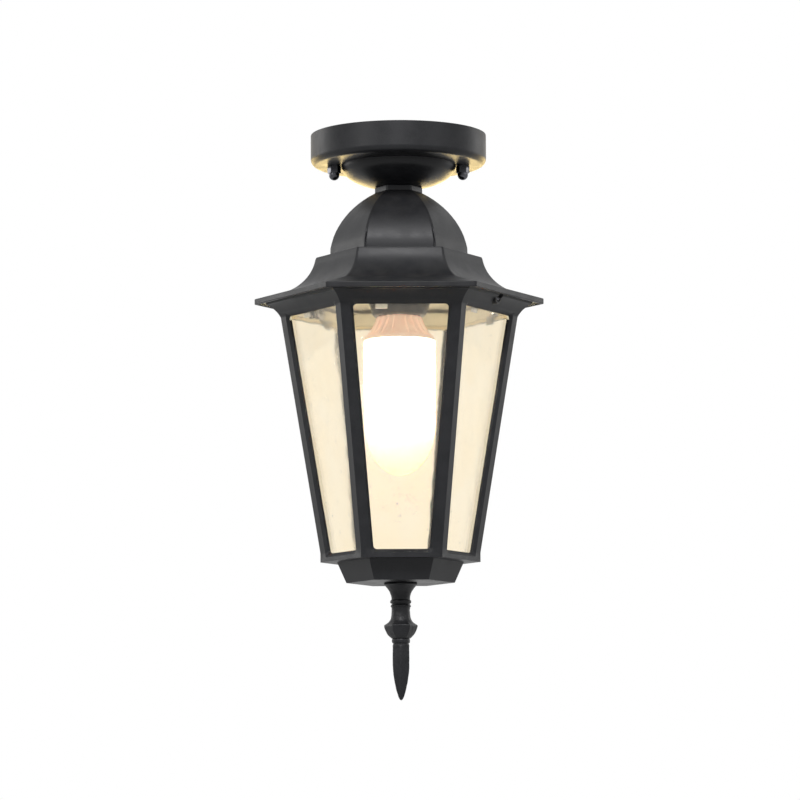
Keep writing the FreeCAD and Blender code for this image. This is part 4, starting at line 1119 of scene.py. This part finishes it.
@dataclass(frozen=True)
class Row:
    """One point of a turned or cast outline, with its shares of the surface forms."""

    out: float
    level: float
    thread: float = 0.0
    hexness: float = 0.0
    flute: float = 0.0
    groove: float = 0.0


def chain(rows: Sequence[Row]) -> bpy.types.Mesh:
    """Loose points that a tree reads in order, with each row's shares as attributes."""
    mesh = mesh_from("chain", [(row.out, 0.0, row.level) for row in rows], [])
    for name in ("thread", "hexness", "flute", "groove"):
        values = mesh.attributes.new(name, "FLOAT", "POINT")
        for number, row in enumerate(rows):
            values.data[number].value = getattr(row, name)
    return mesh


def hex_casting(rows: Sequence[Row], rounding: float, groove: float, slot: str,
                steps: int = 9) -> bpy.types.Mesh:
    """Closed hexagonal shell from a closed outline.

    Args:
        rows: the outline, by distance to the side and level.
        rounding: radius of the corners seen from above.
        groove: depth of the crease along the hips.
        slot: material slot of the record.
        steps: points round each corner.

    Returns:
        The shell.
    """
    mesh = TREES.grow("hex_casting", chain(rows),
                      {"Outline Points": len(rows), "Corner Steps": steps,
                       "Corner Rounding": rounding * MM, "Hip Groove": groove * MM,
                       "Finish": SHELF.get(slot)})
    return tidied(mesh)


def turned(rows: Sequence[Row], slot: str, around: int, pitch: float, thread_depth: float,
           flute_depth: float = 0.0, hammer: float = 0.0) -> bpy.types.Mesh:
    """Turned skin about the lantern's axis.

    Args:
        rows: the outline, by radius and level.
        slot: material slot of the record.
        around: points round the axis.
        pitch: rise of the thread in one turn.
        thread_depth: depth of the thread.
        flute_depth: depth of the flutes.
        hammer: depth of the hammer marks.

    Returns:
        The skin, closed where its outline is.
    """
    mesh = TREES.grow("turned_skin", chain(rows),
                      {"Outline Points": len(rows), "Around": around, "Pitch": pitch * MM,
                       "Thread Depth": thread_depth * MM, "Flute Depth": flute_depth * MM,
                       "Hammer Depth": hammer * MM, "Finish": SHELF.get(slot)})
    return tidied(mesh)


def ring_of(form: bpy.types.Mesh, count: int, first_angle: float, slot: str) -> bpy.types.Mesh:
    """Copies of a form round the lantern's axis, as one mesh."""
    return TREES.grow("ring_of", form, {"Count": count, "First Angle": math.radians(first_angle),
                                        "Finish": SHELF.get(slot)})


def thread_rows(radius: float, top: float, bottom: float, pitch: float) -> list[Row]:
    """Rows of a threaded length, which fades out over one turn at both ends."""
    rows_per_turn = 12
    count = round((top - bottom) / pitch * rows_per_turn)
    rows = []
    for number in range(count + 1):
        level = top + (bottom - top) * number / count
        share = min(1.0, (top - level) / pitch, (level - bottom) / pitch)
        rows.append(Row(radius, level, thread=max(0.0, share)))
    return rows


def rod_rows(radius: float, top: float, bottom: float, pitch: float, chamfer: float, lead: float,
             bore: float = 0.0) -> list[Row]:
    """Rows of a threaded rod with chamfered ends.

    Args:
        radius: outer radius.
        top: level of the upper end.
        bottom: level of the lower end.
        pitch: rise of the thread in one turn.
        chamfer: how far the ends are drawn in.
        lead: length of each chamfer.
        bore: radius of the hole through it.

    Returns:
        The rows from the bore at the top to the bore at the bottom.
    """
    end = radius - chamfer
    return [Row(bore, top), Row(end, top), *thread_rows(radius, top - lead, bottom + lead, pitch),
            Row(end, bottom), Row(bore, bottom)]


def moved(mesh: bpy.types.Mesh, x: float) -> bpy.types.Mesh:
    """A copy of a mesh moved sideways by a distance in millimetres."""
    copy = mesh.copy()
    copy.transform(Matrix.Translation((x * MM, 0.0, 0.0)))
    return copy


def plate(name: str, outline: Sequence[Point2], inner: float, outer: float) -> bpy.types.Mesh:
    """Plate that stands across the +X direction, from an outline of (sideways, level)."""
    count = len(outline)
    vertices = [(inner, y, z) for y, z in outline] + [(outer, y, z) for y, z in outline]
    faces: list[list[int]] = [list(range(count))[::-1], list(range(count, 2 * count))]
    for here in range(count):
        after = (here + 1) % count
        faces.append([here, after, count + after, count + here])
    return tidied(mesh_from(name, vertices, faces))


# ---------------------------------------------------------------- sub-assemblies


@dataclass
class Roof:
    """Hexagonal roof casting with its two slotted lugs for the cage screws."""

    neck_flat: float = 14.289
    neck_top: float = -36.0
    dome_top: float = -39.9
    dome_flat: float = 40.963
    dome_foot: float = -78.0
    dome_bulge: float = 5.2
    foot_end: float = -83.1
    ledge_flat: float = 49.190
    ledge_edge: float = -84.2
    flare_start: Point2 = (49.796, -85.9)
    flare_end: Point2 = (64.779, -106.6)
    flare_bulge: float = 3.0
    eave_flat: float = 85.650
    eave_top: float = -112.8
    eave_bottom: float = -116.5
    web_underside: float = -43.0
    wall: float = 2.5
    fascia_wall: float = 2.2
    bore: float = 5.35
    edge_rounding: float = 0.55
    hip_rounding: float = 2.3
    hip_groove: float = 2.1
    groove_top: float = -43.5
    groove_foot: float = -81.5
    lug_inner: float = 62.89
    lug_outer: float = 66.89
    lug_width: float = 9.0
    lug_top: float = -107.9
    lug_bottom: float = -121.75
    lug_slot: float = 2.2
    screw_level: float = -117.25
    lug_rounding: float = 0.4
    web_edge: float = 12.0
    skin_share: float = 1.3
    slot_step: int = 15

    def outline(self) -> list[Row]:
        """Closed outline of the casting's wall, by distance to the side and level."""
        slope = (self.eave_top - self.flare_end[1]) / (self.eave_flat - self.flare_end[0])
        inside = self.eave_flat - self.fascia_wall
        under_flare = self.flare_end[1] - self.wall
        under_eave = under_flare + (inside - self.flare_end[0]) * slope
        outer = traced((self.bore, self.neck_top), (self.neck_flat, self.neck_top),
                       (self.neck_flat, self.dome_top),
                       (self.dome_flat, self.dome_foot, self.dome_bulge),
                       (self.dome_flat, self.foot_end),
                       (self.ledge_flat, self.ledge_edge), self.flare_start,
                       (*self.flare_end, -self.flare_bulge), (self.eave_flat, self.eave_top),
                       (self.eave_flat, self.eave_bottom))
        inner = traced((inside, self.eave_bottom), (inside, under_eave),
                       (self.flare_end[0], under_flare),
                       (self.flare_start[0] - self.wall, self.ledge_edge - self.wall,
                        self.flare_bulge),
                       (self.dome_flat - self.wall, self.foot_end - self.wall),
                       (self.dome_flat - self.wall, self.dome_foot),
                       (self.web_edge, self.web_underside, -self.dome_bulge),
                       (self.bore, self.web_underside))
        points = softened(outer + inner, self.edge_rounding)
        rows = []
        for out, level in points:
            on_dome = self.groove_foot < level < self.groove_top
            skin = out > self._dome_wall_middle(level)
            rows.append(Row(out, level, groove=1.0 if on_dome and skin else 0.0))
        return rows

    def _dome_wall_middle(self, level: float) -> float:
        """Distance of the middle of the dome's wall at a level, roughly."""
        height = min(1.0, max(0.0, (self.dome_foot - level) / (self.dome_foot - self.dome_top)))
        width = self.dome_flat - self.neck_flat
        return self.neck_flat + width * math.sqrt(1.0 - height * height) - self.skin_share

    def lug(self) -> bpy.types.Mesh:
        """One lug: a plate under the eave with a slot that opens downwards."""
        half, gap = self.lug_width / 2, self.lug_slot
        angles = [math.radians(angle) for angle in range(180, -1, -self.slot_step)]
        arch = [(gap * math.cos(angle), self.screw_level + gap * math.sin(angle))
                for angle in angles]
        outline = [(half, self.lug_top), (-half, self.lug_top), (-half, self.lug_bottom),
                   (-gap, self.lug_bottom), *arch, (gap, self.lug_bottom), (half, self.lug_bottom)]
        form = plate("lug", outline, self.lug_inner, self.lug_outer)
        return WORKSHOP.finish_modifiers(form, self.lug_rounding)

    def build(self) -> None:
        """Makes the casting with its lugs and marks its inside, which takes the pale painted
        lamplight.
        """
        shell = hex_casting(self.outline(), self.hip_rounding, self.hip_groove, "black_paint")
        shell = WORKSHOP.finish_modifiers(shell, 0.0)
        lugs = ring_of(self.lug(), 2, Side.BACK_LEFT.value, "black_paint")
        mesh = joined("roof_casting", [shell, lugs])
        # the faces marked inside take the coat's pale painted lamplight
        mark(mesh, "inside", self._is_inside)
        WORKSHOP.piece("roof_casting", mesh, Body.FIXTURE, "black_paint", ["roof"])

    def _is_inside(self, place: Vector, normal: Vector) -> float:
        """1 on the underside and inner walls, which take the pale painted lamplight."""
        outward = Vector((place.x, place.y, 0.0)).normalized()
        down_counts, least, clear_of_eave = 0.9, -0.2, 0.5
        facing_in = normal.dot(outward) + down_counts * normal.z < least
        return 1.0 if facing_in and place.z > self.eave_bottom + clear_of_eave else 0.0


@dataclass
class CeilingGear:
    """Crossbar with its studs, nuts, earth screw and terminal block, hidden in the canopy."""

    small_rounding: float = 0.2
    bar_rounding: float = 0.3
    stud_offset: float = 44.0
    stud_radius: float = 2.45
    stud_top: float = -0.3
    stud_bottom: float = -27.5
    stud_pitch: float = 0.8
    stud_depth: float = 0.4
    stud_chamfer: float = 0.5
    stud_lead: float = 0.4
    stud_around: int = 28

    def build(self) -> None:
        """Makes all pieces on the ceiling side of the canopy."""
        WORKSHOP.softened_nodes(Body.FIXTURE, self.bar_rounding, "crossbar")
        WORKSHOP.softened_nodes(Body.FIXTURE, self.small_rounding, "stud_nuts", "ground_screw",
                                "ground_washer", "terminal_block", "terminal_screws")
        self._studs()

    def _studs(self) -> None:
        """Makes the two threaded studs."""
        rows = rod_rows(self.stud_radius, self.stud_top, self.stud_bottom, self.stud_pitch,
                        self.stud_chamfer, self.stud_lead)
        stud = turned(rows, "zinc_steel", self.stud_around, self.stud_pitch, self.stud_depth)
        both = [moved(stud, offset) for offset in (-self.stud_offset, self.stud_offset)]
        pair = joined("canopy_studs", both)
        WORKSHOP.piece("threaded_studs", pair, Body.FIXTURE, "zinc_steel", ["canopy_studs"])


@dataclass
class Canopy:
    """Cast ceiling cup with the domed cap nuts under it."""

    edge_rounding: float = 0.7
    nut_rounding: float = 0.3
    underside: float = -20.6
    sheltered_radius: float = 58.5
    still_level: float = 0.1

    def build(self) -> None:
        """Makes the cup and the cap nuts."""
        mesh = WORKSHOP.finish_modifiers(node_copy("canopy"), self.edge_rounding)
        mark_edges(mesh)
        mark(mesh, "sheltered", self._is_sheltered)
        WORKSHOP.piece("canopy_casting", mesh, Body.FIXTURE, "black_paint", ["canopy"])
        WORKSHOP.softened_nodes(Body.FIXTURE, self.nut_rounding, "cap_nuts")

    def _is_sheltered(self, place: Vector, normal: Vector) -> float:
        """1 on the underside and the dome, where the coat lies smoother."""
        below = place.z < self.underside and normal.z < self.still_level
        return 1.0 if below and math.hypot(place.x, place.y) < self.sheltered_radius else 0.0


@dataclass
class Stem:
    """Hollow threaded nipple with its nuts and washers."""

    radius: float = 4.95
    bore: float = 3.6
    top: float = -26.8
    bottom: float = -73.5
    pitch: float = 1.0
    depth: float = 0.5
    chamfer: float = 0.5
    around: int = 36
    small_rounding: float = 0.25

    def build(self) -> None:
        """Makes the nipple and its fasteners."""
        rows = rod_rows(self.radius, self.top, self.bottom, self.pitch, self.chamfer, self.chamfer,
                        self.bore)
        rows.append(rows[0])
        nipple = turned(rows, "zinc_steel", self.around, self.pitch, self.depth)
        WORKSHOP.piece("threaded_nipple", nipple, Body.FIXTURE, "zinc_steel", ["nipple"])
        WORKSHOP.softened_nodes(Body.FIXTURE, self.small_rounding, "lock_washer", "nipple_nut",
                                "roof_washer", "roof_nut", "holder_nut")


@dataclass
class Lampholder:
    """Phenolic lampholder with its porcelain carrier and brass contacts."""

    body_rounding: float = 0.5
    small_rounding: float = 0.15

    def build(self) -> None:
        """Makes the lampholder's pieces."""
        WORKSHOP.softened_nodes(Body.FIXTURE, self.body_rounding, "lampholder_cap",
                                "lampholder_body", "contact_carrier")
        WORKSHOP.softened_nodes(Body.FIXTURE, self.small_rounding, "holder_screws",
                                "screw_shell", "centre_contact")


@dataclass
class Lamp:
    """LED column lamp: threaded cap, finned housing, board and opal cover."""

    fin_rounding: float = 0.35
    small_rounding: float = 0.2
    chip_ring: float = 14.5
    chip_count: int = 12
    chip_half: float = 1.4
    plate_underside: float = -144.2
    chip_height: float = 0.35

    def build(self) -> None:
        """Makes the lamp's pieces."""
        WORKSHOP.softened_nodes(Body.LAMP_TIP, self.small_rounding, "lamp_contact")
        WORKSHOP.softened_nodes(Body.LAMP, self.small_rounding, "lamp_insulator", "lamp_cap")
        WORKSHOP.softened_nodes(Body.LAMP, self.fin_rounding, "lamp_housing")
        WORKSHOP.softened_nodes(Body.LAMP, 0.0, "lamp_cover")
        self._board()

    def _board(self) -> None:
        """Makes the LED board with its chips on the inner side."""
        half, low = self.chip_half, self.plate_underside
        top = low + self.chip_height
        outline = [(-half, low), (half, low), (half, top), (-half, top)]
        chip = plate("chip", outline, self.chip_ring - half, self.chip_ring + half)
        chips = ring_of(chip, self.chip_count, 0.0, "led_board")
        board = WORKSHOP.finish_modifiers(node_copy("led_plate"), self.small_rounding)
        mesh = joined("led_board", [board, chips])
        WORKSHOP.piece("led_board", mesh, Body.LAMP, "led_board", ["led_plate"])


@dataclass
class Cage:
    """Glazed cage: cast frame, six panes, their clips and the two screws that hold it up."""

    frame_rounding: float = 0.55
    small_rounding: float = 0.2
    # lowest level of the crown's inner faces that take the painted lamplight
    lamplit_bottom: float = -130.5
    ripple_depth: float = 0.13
    seeds_per_area: float = 1500.0
    front_cluster: float = 36.0
    pane_cuts: int = 6
    first_seed: int = 3
    sharp_degrees: float = 50.0
    facing_in: float = -0.3

    def build(self) -> None:
        """Makes the cage's pieces."""
        casting = WORKSHOP.finish_modifiers(node_copy("cage_frame"), self.frame_rounding)
        mark_edges(casting)
        # the faces marked inside take the coat's pale painted lamplight
        mark(casting, "inside", self._is_lamplit_inside)
        WORKSHOP.piece("cage_casting", casting, Body.CAGE, "black_paint", ["cage_frame"])
        for number, side in enumerate(Side):
            self._pane(side, number)
        WORKSHOP.softened_nodes(Body.CAGE, self.small_rounding, "pane_clips", "clip_screws",
                                "cage_screws", "cage_nuts")

    def _is_lamplit_inside(self, place: Vector, normal: Vector) -> float:
        """1 on the inner faces of the crown, which take the pale painted lamplight."""
        outward = Vector((place.x, place.y, 0.0)).normalized()
        lamplit = normal.dot(outward) < self.facing_in and place.z > self.lamplit_bottom
        return 1.0 if lamplit else 0.0

    def _pane(self, side: Side, number: int) -> None:
        """Makes one pane with its ripples and seeds."""
        node = "pane_" + side.name.lower()
        mesh = TREES.grow("rippled_pane", node_copy(node), {
            "Cuts": self.pane_cuts, "Ripple Depth": self.ripple_depth * MM,
            "Seeds Per Area": self.seeds_per_area,
            "Cluster": self.front_cluster if side is Side.FRONT else 0.0,
            "Random Seed": self.first_seed + number, "Finish": SHELF.get("pane_glass")})
        mesh.set_sharp_from_angle(angle=math.radians(self.sharp_degrees))
        WORKSHOP.piece(node + "_glass", mesh, Body.CAGE, "pane_glass", [node])


@dataclass
class BottomPan:
    """Cast pan that closes the cage, with its three screws."""

    edge_rounding: float = 0.6
    small_rounding: float = 0.2

    def build(self) -> None:
        """Makes the pan and its screws."""
        WORKSHOP.softened_nodes(Body.CAGE, self.edge_rounding, "bottom_pan")
        WORKSHOP.softened_nodes(Body.CAGE, self.small_rounding, "pan_screws")


@dataclass
class Finial:
    """Cast finial: flared flange, ringed neck, six-sided knob and fluted spear, on a stud.

    Points are (radius, level); the knob's add a share of its six flats, and the spear's are
    (share of its radius, level, share of the flutes).
    """

    stud_top: float = -297.05
    stud_radius: float = 2.45
    stud_pitch: float = 0.8
    stud_chamfer: float = 0.4
    thread_depth: float = 0.4
    flange_top: float = -306.65
    flange_radius: float = 11.35
    flange_and_neck: tuple[Point2, ...] = (
        (10.75, -306.65), (11.35, -307.2), (11.35, -308.0), (10.5, -308.7), (8.9, -310.6),
        (7.4, -312.9), (6.5, -315.6), (6.35, -318.0), (6.65, -318.3), (7.05, -318.9),
        (7.05, -319.9), (6.65, -320.5), (6.15, -320.8), (6.35, -321.3), (6.6, -321.8),
        (6.9, -322.3), (6.7, -322.9), (6.35, -323.4), (6.25, -326.0), (6.45, -328.6))
    knob: tuple[Point3, ...] = (
        (6.6, -329.9, 0.0), (7.1, -331.5, 0.1), (8.2, -333.1, 0.35), (9.9, -334.4, 0.7),
        (11.35, -335.3, 1.0), (11.35, -336.1, 1.0), (11.0, -337.3, 1.0), (10.45, -338.9, 0.95),
        (9.6, -340.6, 0.85), (8.5, -342.2, 0.6), (7.3, -343.4, 0.35), (6.5, -344.1, 0.1))
    collar: tuple[Point2, ...] = (
        (5.75, -344.5), (6.1, -345.0), (6.1, -346.6), (5.7, -347.3), (5.2, -347.8))
    spear_radius: float = 6.35
    spear: tuple[Point3, ...] = (
        (0.90, -348.4, 0.2), (0.965, -349.4, 0.6), (0.985, -351.5, 1.0), (1.0, -355.0, 1.0),
        (1.0, -359.0, 1.0), (0.985, -363.0, 1.0), (0.95, -366.6, 1.0), (0.88, -370.0, 1.0),
        (0.78, -373.4, 0.95), (0.67, -376.6, 0.85), (0.55, -379.4, 0.7), (0.42, -381.9, 0.5),
        (0.30, -383.9, 0.3), (0.17, -385.3, 0.1))
    tip: float = -386.05
    flute_depth: float = 0.95
    hammer: float = 0.55
    around: int = 120
    nut_rounding: float = 0.2

    def rows(self) -> list[Row]:
        """Outline from the top of the stud to the tip."""
        stud = [Row(0.0, self.stud_top), Row(self.stud_radius - self.stud_chamfer, self.stud_top),
                *thread_rows(self.stud_radius, self.stud_top - self.stud_chamfer, self.flange_top,
                             self.stud_pitch)]
        outline = [Row(out, level) for out, level in self.flange_and_neck]
        outline += [Row(out, level, hexness=share) for out, level, share in self.knob]
        outline += [Row(out, level) for out, level in self.collar]
        outline += [Row(share * self.spear_radius, level, flute=flute)
                    for share, level, flute in self.spear]
        return stud + self._eased(outline) + [Row(0.0, self.tip)]

    def _eased(self, rows: Sequence[Row], cuts: int = 4) -> list[Row]:
        """Rows along a smooth curve (Catmull-Rom) through the given ones."""
        eased = []
        for number in range(len(rows) - 1):
            before, here = rows[max(0, number - 1)], rows[number]
            after, beyond = rows[number + 1], rows[min(len(rows) - 1, number + 2)]
            for step in range(cuts):
                share = step / cuts
                weights = (-0.5 * share ** 3 + share ** 2 - 0.5 * share,
                           1.5 * share ** 3 - 2.5 * share ** 2 + 1.0,
                           -1.5 * share ** 3 + 2.0 * share ** 2 + 0.5 * share,
                           0.5 * share ** 3 - 0.5 * share ** 2)
                pulls = list(zip(weights, (before, here, after, beyond)))
                out = sum(weight * row.out for weight, row in pulls)
                level = sum(weight * row.level for weight, row in pulls)
                eased.append(Row(min(out, self.flange_radius), level,
                                 hexness=here.hexness + (after.hexness - here.hexness) * share,
                                 flute=here.flute + (after.flute - here.flute) * share))
        return eased + [rows[-1]]

    def build(self) -> None:
        """Makes the finial and its nut and washer."""
        mesh = turned(self.rows(), "black_paint", self.around, self.stud_pitch, self.thread_depth,
                      self.flute_depth, self.hammer)
        WORKSHOP.piece("cast_finial", mesh, Body.CAGE, "black_paint", ["finial"])
        WORKSHOP.softened_nodes(Body.CAGE, self.nut_rounding, "finial_washer", "finial_nut")


@dataclass(frozen=True)
class SoftLamp:
    """One soft rectangular lamp of the studio, aimed at the lantern, in metres."""

    name: str
    place: Point3
    size: Point2
    watts: float
    colour: Colour
    reach: Reach = Reach.ALL

    def build(self, aim: Point3, pieces: dict[str, bpy.types.Object]) -> None:
        """Makes the lamp.

        Args:
            aim: the point it is turned to.
            pieces: the lantern's pieces by name.
        """
        data = bpy.data.lights.new(self.name, "AREA")
        data.shape = "RECTANGLE"
        data.size, data.size_y = self.size
        data.energy = self.watts
        data.color = self.colour
        lamp = bpy.data.objects.new(self.name, data)
        lamp.location = self.place
        lamp.rotation_euler = (Vector(aim) - lamp.location).to_track_quat("-Z", "Y").to_euler()
        lamp.visible_camera = False
        lamp.visible_transmission = False
        if self.reach is not Reach.ALL:
            lamp.light_linking.receiver_collection = self._receivers(pieces)
        bpy.context.scene.collection.objects.link(lamp)

    def _receivers(self, pieces: dict[str, bpy.types.Object]) -> bpy.types.Collection:
        """The pieces that the lamp lights."""
        receivers = bpy.data.collections.new(self.name + "_receivers")
        for name, piece in pieces.items():
            on_canopy, on_glass = name.startswith("canopy"), name.endswith("_glass")
            if on_canopy if self.reach is Reach.CANOPY else not on_glass:
                receivers.objects.link(piece)
        return receivers


@dataclass
class Studio:
    """Camera, lamps, sky and floor, in metres, with the lens in millimetres."""

    camera_place: Point3 = (-0.0475, -2.7216, -0.4956)
    camera_aim: Point3 = (0.0, 0.0, -0.1821)
    lens: float = 181.35
    sensor_width: float = 36.0
    shift_x: float = 0.0004
    roll: float = -0.3
    farthest: float = 50.0
    floor_level: float = -2.3
    floor_reach: float = 60.0
    floor_colour: Colour = (0.88, 0.88, 0.87)
    floor_roughness: float = 0.9
    floor_seen_level: float = 0.64
    white: Colour = (1.0, 1.0, 1.0)
    sky_level: float = 0.25
    lamps: tuple[SoftLamp, ...] = (
        SoftLamp("front_lamp", (0.0, -2.3, 1.4), (0.9, 0.7), 60.0, (0.99, 0.985, 1.0)),
        SoftLamp("key_lamp", (-1.9, -1.8, 0.9), (1.0, 1.0), 22.0, (1.0, 0.99, 0.98)),
        SoftLamp("fill_lamp", (2.0, -1.7, 0.9), (1.0, 1.0), 10.0, (0.99, 0.99, 1.0)),
        SoftLamp("left_rim_lamp", (-2.2, 1.3, 0.3), (1.0, 1.0), 10.0, (1.0, 0.99, 0.97),
                 Reach.ALL_BUT_GLASS),
        SoftLamp("right_rim_lamp", (2.2, 1.3, 0.3), (1.0, 1.0), 6.0, (1.0, 0.99, 0.97),
                 Reach.ALL_BUT_GLASS),
        SoftLamp("warm_back_lamp", (0.0, 0.85, -0.13), (1.4, 0.32), 8.0, (1.0, 0.72, 0.24),
                 Reach.CANOPY))

    def build(self, pieces: dict[str, bpy.types.Object]) -> None:
        """Makes the whole studio.

        Args:
            pieces: the lantern's pieces by name, for the lamps that light only some of them.
        """
        self._camera()
        self._sky()
        self._floor()
        for lamp in self.lamps:
            lamp.build(self.camera_aim, pieces)
        bpy.context.scene.view_settings.view_transform = "Standard"

    def _camera(self) -> None:
        """Camera at the photograph's angle."""
        data = bpy.data.cameras.new("camera")
        data.lens = self.lens
        data.sensor_width = self.sensor_width
        data.shift_x = self.shift_x
        data.clip_end = self.farthest
        camera = bpy.data.objects.new("camera", data)
        camera.location = self.camera_place
        aim = Vector(self.camera_aim) - Vector(self.camera_place)
        roll = Quaternion((0, 0, 1), math.radians(self.roll))
        camera.rotation_euler = (aim.to_track_quat("-Z", "Y") @ roll).to_euler()
        bpy.context.scene.collection.objects.link(camera)
        bpy.context.scene.camera = camera

    def _sky(self) -> None:
        """White for the camera, gloss and glass; a plain level for the light it gives."""
        world = bpy.data.worlds.new("studio_sky")
        world.use_nodes = True
        sheet = Sheet(world.node_tree)
        seen = sheet.times(sheet.seen_directly(), 1.0 - self.sky_level)
        background = world.node_tree.nodes["Background"].inputs
        background["Color"].default_value = rgba(self.white)
        sheet.link(sheet.plus(seen, self.sky_level), background["Strength"])
        bpy.context.scene.world = world

    def _floor(self) -> None:
        """Plain pale floor far below the lantern."""
        mesh = bpy.data.meshes.new("floor")
        reach = self.floor_reach
        around = [(-reach, -reach), (reach, -reach), (reach, reach), (-reach, reach)]
        mesh.from_pydata([(x, y, self.floor_level) for x, y in around], [], [(0, 1, 2, 3)])
        floor = bpy.data.objects.new("floor", mesh)
        bpy.context.scene.collection.objects.link(floor)
        finish = Finish("pale_floor")
        seen = finish.sheet.times(finish.sheet.seen_directly(), self.floor_seen_level)
        finish.set(Base_Color=rgba(self.floor_colour), Roughness=self.floor_roughness,
                   Emission_Color=rgba(self.white))
        finish.feed(Emission_Strength=seen)
        mesh.materials.append(finish.material)


def main() -> None:
    """Builds the studio and every sub-assembly in order."""
    logging.basicConfig(level=logging.INFO, format="%(name)s: %(message)s")
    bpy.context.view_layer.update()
    for assembly in (CeilingGear(), Canopy(), Stem(), Roof(), Lampholder(), Lamp(), Cage(),
                     BottomPan(), Finial()):
        assembly.build()
    Studio().build(WORKSHOP.made)


if __name__ == "__main__":
    main()
